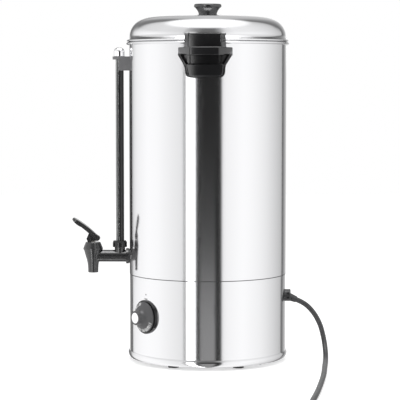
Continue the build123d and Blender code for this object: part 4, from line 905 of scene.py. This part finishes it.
class URN_OT_lid(bpy.types.Operator):
    """Spin the lid and finish its knob"""

    bl_idname = "urn.lid"
    bl_label = "Lid"

    # Corners of the dome's outer line, as radius and height above the bead, in millimetres, the
    # bends between them, and how the sheet's inner line lies inside each corner, in thicknesses.
    corners = ((131.1, 0), (128.8, 26.9), (102.6, 38.4), (16.8, 43.6), (2.9, 43.6))
    bends = (30.0, 50.0, 60.0)
    inward = ((-1, 0), (-1, -0.5), (-0.25, -1), (0, -1), (0, -1))
    sheet = 1.0
    # The bead at the edge: its middle's radius, its half width and its half height, then how far
    # above their meeting the dome's line starts, and the middle's height above the table.
    bead = (132.7, 2.0, 1.65)
    bead_clearance = 0.1
    foot = 533.55
    bend_points = 12
    bead_points = 28
    sides = 192

    def execute(self, context):
        outer = rounded(self.corners, self.bends, self.bend_points)
        inner_corners = np.array(self.corners) + self.sheet * np.array(self.inward)
        inner_bends = (self.bends[0] - self.sheet, *self.bends[1:])
        inner = rounded(inner_corners, inner_bends, self.bend_points)
        middle, half_width, half_height = self.bead
        meets = pi - np.arccos((middle - self.corners[0][0]) / half_width)
        turn = np.linspace(meets, -pi, self.bead_points)
        bead = np.stack([middle + half_width * np.cos(turn), half_height * np.sin(turn)], axis=-1)
        clear = outer[:, 1] > bead[0, 1] + self.bead_clearance
        profile = np.vstack([outer[clear][::-1], bead, inner])
        profile[:, 1] += self.foot
        points = turned(profile * mm, (0, 0, 0), (0, 0, 1), (1, 0, 0), self.sides)
        faces = grid_faces(len(profile), self.sides, True, True)
        shell = mesh_piece("lid_skin", points, faces, polished_steel, "lid", "polished_steel")
        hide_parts("lid_shell")
        dress(plain_steel, "lid_locating_ring")
        dress(tap_moulding, "lid_knob")
        dress(screw_steel, "lid_knob_screw", "lid_knob_washer")
        return {"FINISHED"}


class URN_OT_handles(bpy.types.Operator):
    """Finish the two handles"""

    bl_idname = "urn.handles"
    bl_label = "Handles"

    rounding = 1.2 * mm

    def execute(self, context):
        for name in ("handle_right", "handle_left"):
            softened(name, black_moulding, "root", self.rounding)
        dress(screw_steel, "handle_screws")
        return {"FINISHED"}


class URN_OT_tap(bpy.types.Operator):
    """Finish the tap and its lever, and wind its spring"""

    bl_idname = "urn.tap"
    bl_label = "Tap"

    # The spring: its wire, its pitch, the plunger's travel, and its points along and round.
    wire = 1.1 * mm
    pitch = 3.2 * mm
    travel = 3.6 * mm
    turn_points = 36
    sides = 12

    def execute(self, context):
        dress(tap_moulding, "tap_body", "tap_bonnet", "tap_lever", "tap_lock_nut")
        dress(dark_pin, "lever_pin", "link_pin")
        dress(ivory_plastic, "tap_stem")
        dress(pale_silicone, "tap_inner_seal", "seat_cup")
        dress(black_rubber, "tap_wall_seal")
        self.spring()
        return {"FINISHED"}

    def spring(self):
        """The spring, wound inside its solid's box."""
        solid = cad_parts["tap_spring"]
        box = np.array([solid.matrix_world @ Vector(corner) for corner in solid.bound_box])
        low, high = box.min(axis=0), box.max(axis=0)
        radius = (high[0] - low[0] - self.wire) / 2
        origin = ((low[0] + high[0]) / 2, (low[1] + high[1]) / 2, low[2] + self.wire / 2)
        length = high[2] - low[2] - self.wire
        count = int(self.turn_points * length / self.pitch) + 1
        points = wound(origin, radius, self.wire, self.pitch, length, count, self.sides)
        faces = grid_faces(count, self.sides, False, True)
        spring = mesh_piece("return_spring", points, faces, screw_steel, "root", "steel_fastener")
        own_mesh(spring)
        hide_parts("tap_spring")


class URN_OT_gauge(bpy.types.Operator):
    """Finish the level gauge"""

    bl_idname = "urn.gauge"
    bl_label = "Level gauge"

    # The glass tube's corners, as radius and height, and how far its axis is from the urn's.
    tube = ((4.4, 181), (6.2, 181), (6.2, 514), (4.4, 514))
    reach = 147.7
    crease = radians(40)
    sides = 72

    def execute(self, context):
        origin = (0, -self.reach * mm, 0)
        points = turned(np.array(self.tube) * mm, origin, (0, 0, 1), (1, 0, 0), self.sides)
        faces = grid_faces(len(self.tube), self.sides, True, True)
        tube = mesh_piece("gauge_tube", points, faces, clear_glass, "root", "gauge_glass")
        tube.data.set_sharp_from_angle(angle=self.crease)
        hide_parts("gauge_glass")
        dress(black_moulding, "gauge_guard", "gauge_gland_nut")
        dress(grey_moulding, "gauge_bracket")
        dress(bright_plate, "gauge_cap")
        dress(pale_silicone, "gauge_seal")
        dress(screw_steel, "bracket_screws")
        return {"FINISHED"}


class URN_OT_dial(bpy.types.Operator):
    """Finish the thermostat's dial, print its numbers and mark the base above it"""

    bl_idname = "urn.dial"
    bl_label = "Dial"

    angle = radians(-49.0)
    height = 81.7 * mm
    # The sloping face, as radius from the dial's axis and distance from the urn's, at both ends.
    slope = ((24.3, 135.5), (14.0, 141.5))
    base_radius = 130.3 * mm
    # The print: how far up the slope its middle lies, the font's size over its digits' height,
    # its strokes' added weight, its thickness, and its clearance from the face.
    climb = 0.28
    font_share = 1.38
    weight = 0.3 * mm
    ink = 0.04 * mm
    ink_clearance = 0.05 * mm
    # The marks above the dial: height, half width and half height in millimetres, and squareness.
    dot = (118.3, 1.2, 1.2, 2)
    bar = (111.2, 4.2, 1.1, 5)
    mark_sides = 40

    def execute(self, context):
        dress(dial_moulding, "dial_knob")
        dress(black_moulding, "dial_bezel")
        dress(bright_plate, "dial_disc")
        dress(screw_steel, "thermostat_shaft")
        settings = context.scene.urn_dial
        points, faces = [], []
        start = 0
        for place in range(settings.number_count):
            number = str(settings.first_number + place * settings.number_step)
            glyphs, sides = self.glyphs(number, settings.number_height)
            turn = settings.first_turn + place * settings.turn_step
            points.append(self.on_slope(glyphs, turn))
            faces.append(sides + start)
            start += len(glyphs)
        mesh_piece("dial_numbers", np.vstack(points), np.vstack(faces), white_print, "dial", "dial_plastic")
        # A dark grey dot and a pale grey bar on the steel above the dial.
        mesh_piece("grey_dot", *self.mark(*self.dot), dark_grey_mark, "root", "dial_plastic")
        mesh_piece("pale_bar", *self.mark(*self.bar), pale_grey_mark, "root", "dial_plastic")
        return {"FINISHED"}

    def glyphs(self, number, size):
        """A printed number as triangles, centred, its third coordinate the ink's thickness."""
        text = bpy.data.curves.new("glyphs", "FONT")
        text.body = number
        text.size = size * self.font_share
        text.extrude = self.ink
        text.offset = self.weight
        text.resolution_u = 4
        text.align_x = "CENTER"
        text.align_y = "CENTER"
        holder = bpy.data.objects.new("glyphs", text)
        mesh = bpy.data.meshes.new_from_object(holder)
        mesh.calc_loop_triangles()
        corners = np.empty(3 * len(mesh.vertices))
        mesh.vertices.foreach_get("co", corners)
        sides = np.empty(3 * len(mesh.loop_triangles), int)
        mesh.loop_triangles.foreach_get("vertices", sides)
        bpy.data.objects.remove(holder)
        bpy.data.curves.remove(text)
        bpy.data.meshes.remove(mesh)
        return corners.reshape(-1, 3), sides.reshape(-1, 3)

    def on_slope(self, glyphs, turn):
        """Wraps flat glyphs round the sloping face.

        A glyph's width becomes an angle at its radius, its height runs up the slope, and its
        thickness stands off along the face's normal.
        """
        (outer, back), (inner, front) = np.array(self.slope) * mm
        length = hypot(outer - inner, front - back)
        fall, rise = (outer - inner) / length, (front - back) / length
        across, along, lift = glyphs.T
        lift = lift + self.ink_clearance
        radius = (1 - self.climb) * outer + self.climb * inner + along * fall + lift * rise
        depth = back + (outer - radius) * rise / fall + lift / fall
        angle = turn + across / radius
        outward = np.array([cos(self.angle), sin(self.angle), 0])
        side = np.array([-sin(self.angle), cos(self.angle), 0])
        points = depth[:, None] * outward + (radius * np.sin(angle))[:, None] * side
        points[:, 2] += self.height + radius * np.cos(angle)
        return points

    def mark(self, height, half_width, half_height, square):
        """A thin grey mark on the base: the outline |x|^n + |y|^n = 1, wrapped on the steel.

        Its rings run from the middle out over the face, down the edge and back under the face.
        """
        angle = np.linspace(0, 2 * pi, self.mark_sides, endpoint=False)
        reach = (np.abs(np.cos(angle)) ** square + np.abs(np.sin(angle)) ** square) ** (-1 / square)
        rows = np.array([0, 0.96, 1, 1, 0])[:, None]
        lift = np.array([0.12, 0.12, 0.08, -0.05, -0.05])[:, None] * mm
        across = half_width * mm * rows * reach * np.cos(angle)
        up = half_height * mm * rows * reach * np.sin(angle)
        where = self.angle + across / self.base_radius
        radius = self.base_radius + lift
        points = np.stack([radius * np.cos(where), radius * np.sin(where), height * mm + up], axis=-1)
        return points, grid_faces(len(rows), self.mark_sides, False, True)


class URN_PT_panel(bpy.types.Panel):
    """Sizes and colours of the urn, and the steps that make it"""

    bl_idname = "URN_PT_panel"
    bl_label = "Hot water urn"
    bl_space_type = "VIEW_3D"
    bl_region_type = "UI"
    bl_category = "Urn"

    def draw(self, context):
        for group, kind in GROUPS.items():
            box = self.layout.box()
            for name in kind.__annotations__:
                box.prop(getattr(context.scene, group), name)
        for step in STEPS:
            self.layout.operator(step.bl_idname)


STEPS = (
    URN_OT_studio,
    URN_OT_cord,
    URN_OT_body,
    URN_OT_lid,
    URN_OT_handles,
    URN_OT_tap,
    URN_OT_gauge,
    URN_OT_dial,
)


def register():
    """Adds the settings, the steps and the panel."""
    for kind in (*GROUPS.values(), *STEPS, URN_PT_panel):
        bpy.utils.register_class(kind)
    for name, kind in GROUPS.items():
        setattr(bpy.types.Scene, name, PointerProperty(type=kind))


def unregister():
    """Takes them away again."""
    for name in GROUPS:
        delattr(bpy.types.Scene, name)
    for kind in (URN_PT_panel, *STEPS[::-1], *list(GROUPS.values())[::-1]):
        bpy.utils.unregister_class(kind)


def main():
    """Makes every piece in order."""
    register()
    for step in STEPS:
        group, name = step.bl_idname.split(".")
        getattr(getattr(bpy.ops, group), name)()


if __name__ == "__main__":
    main()
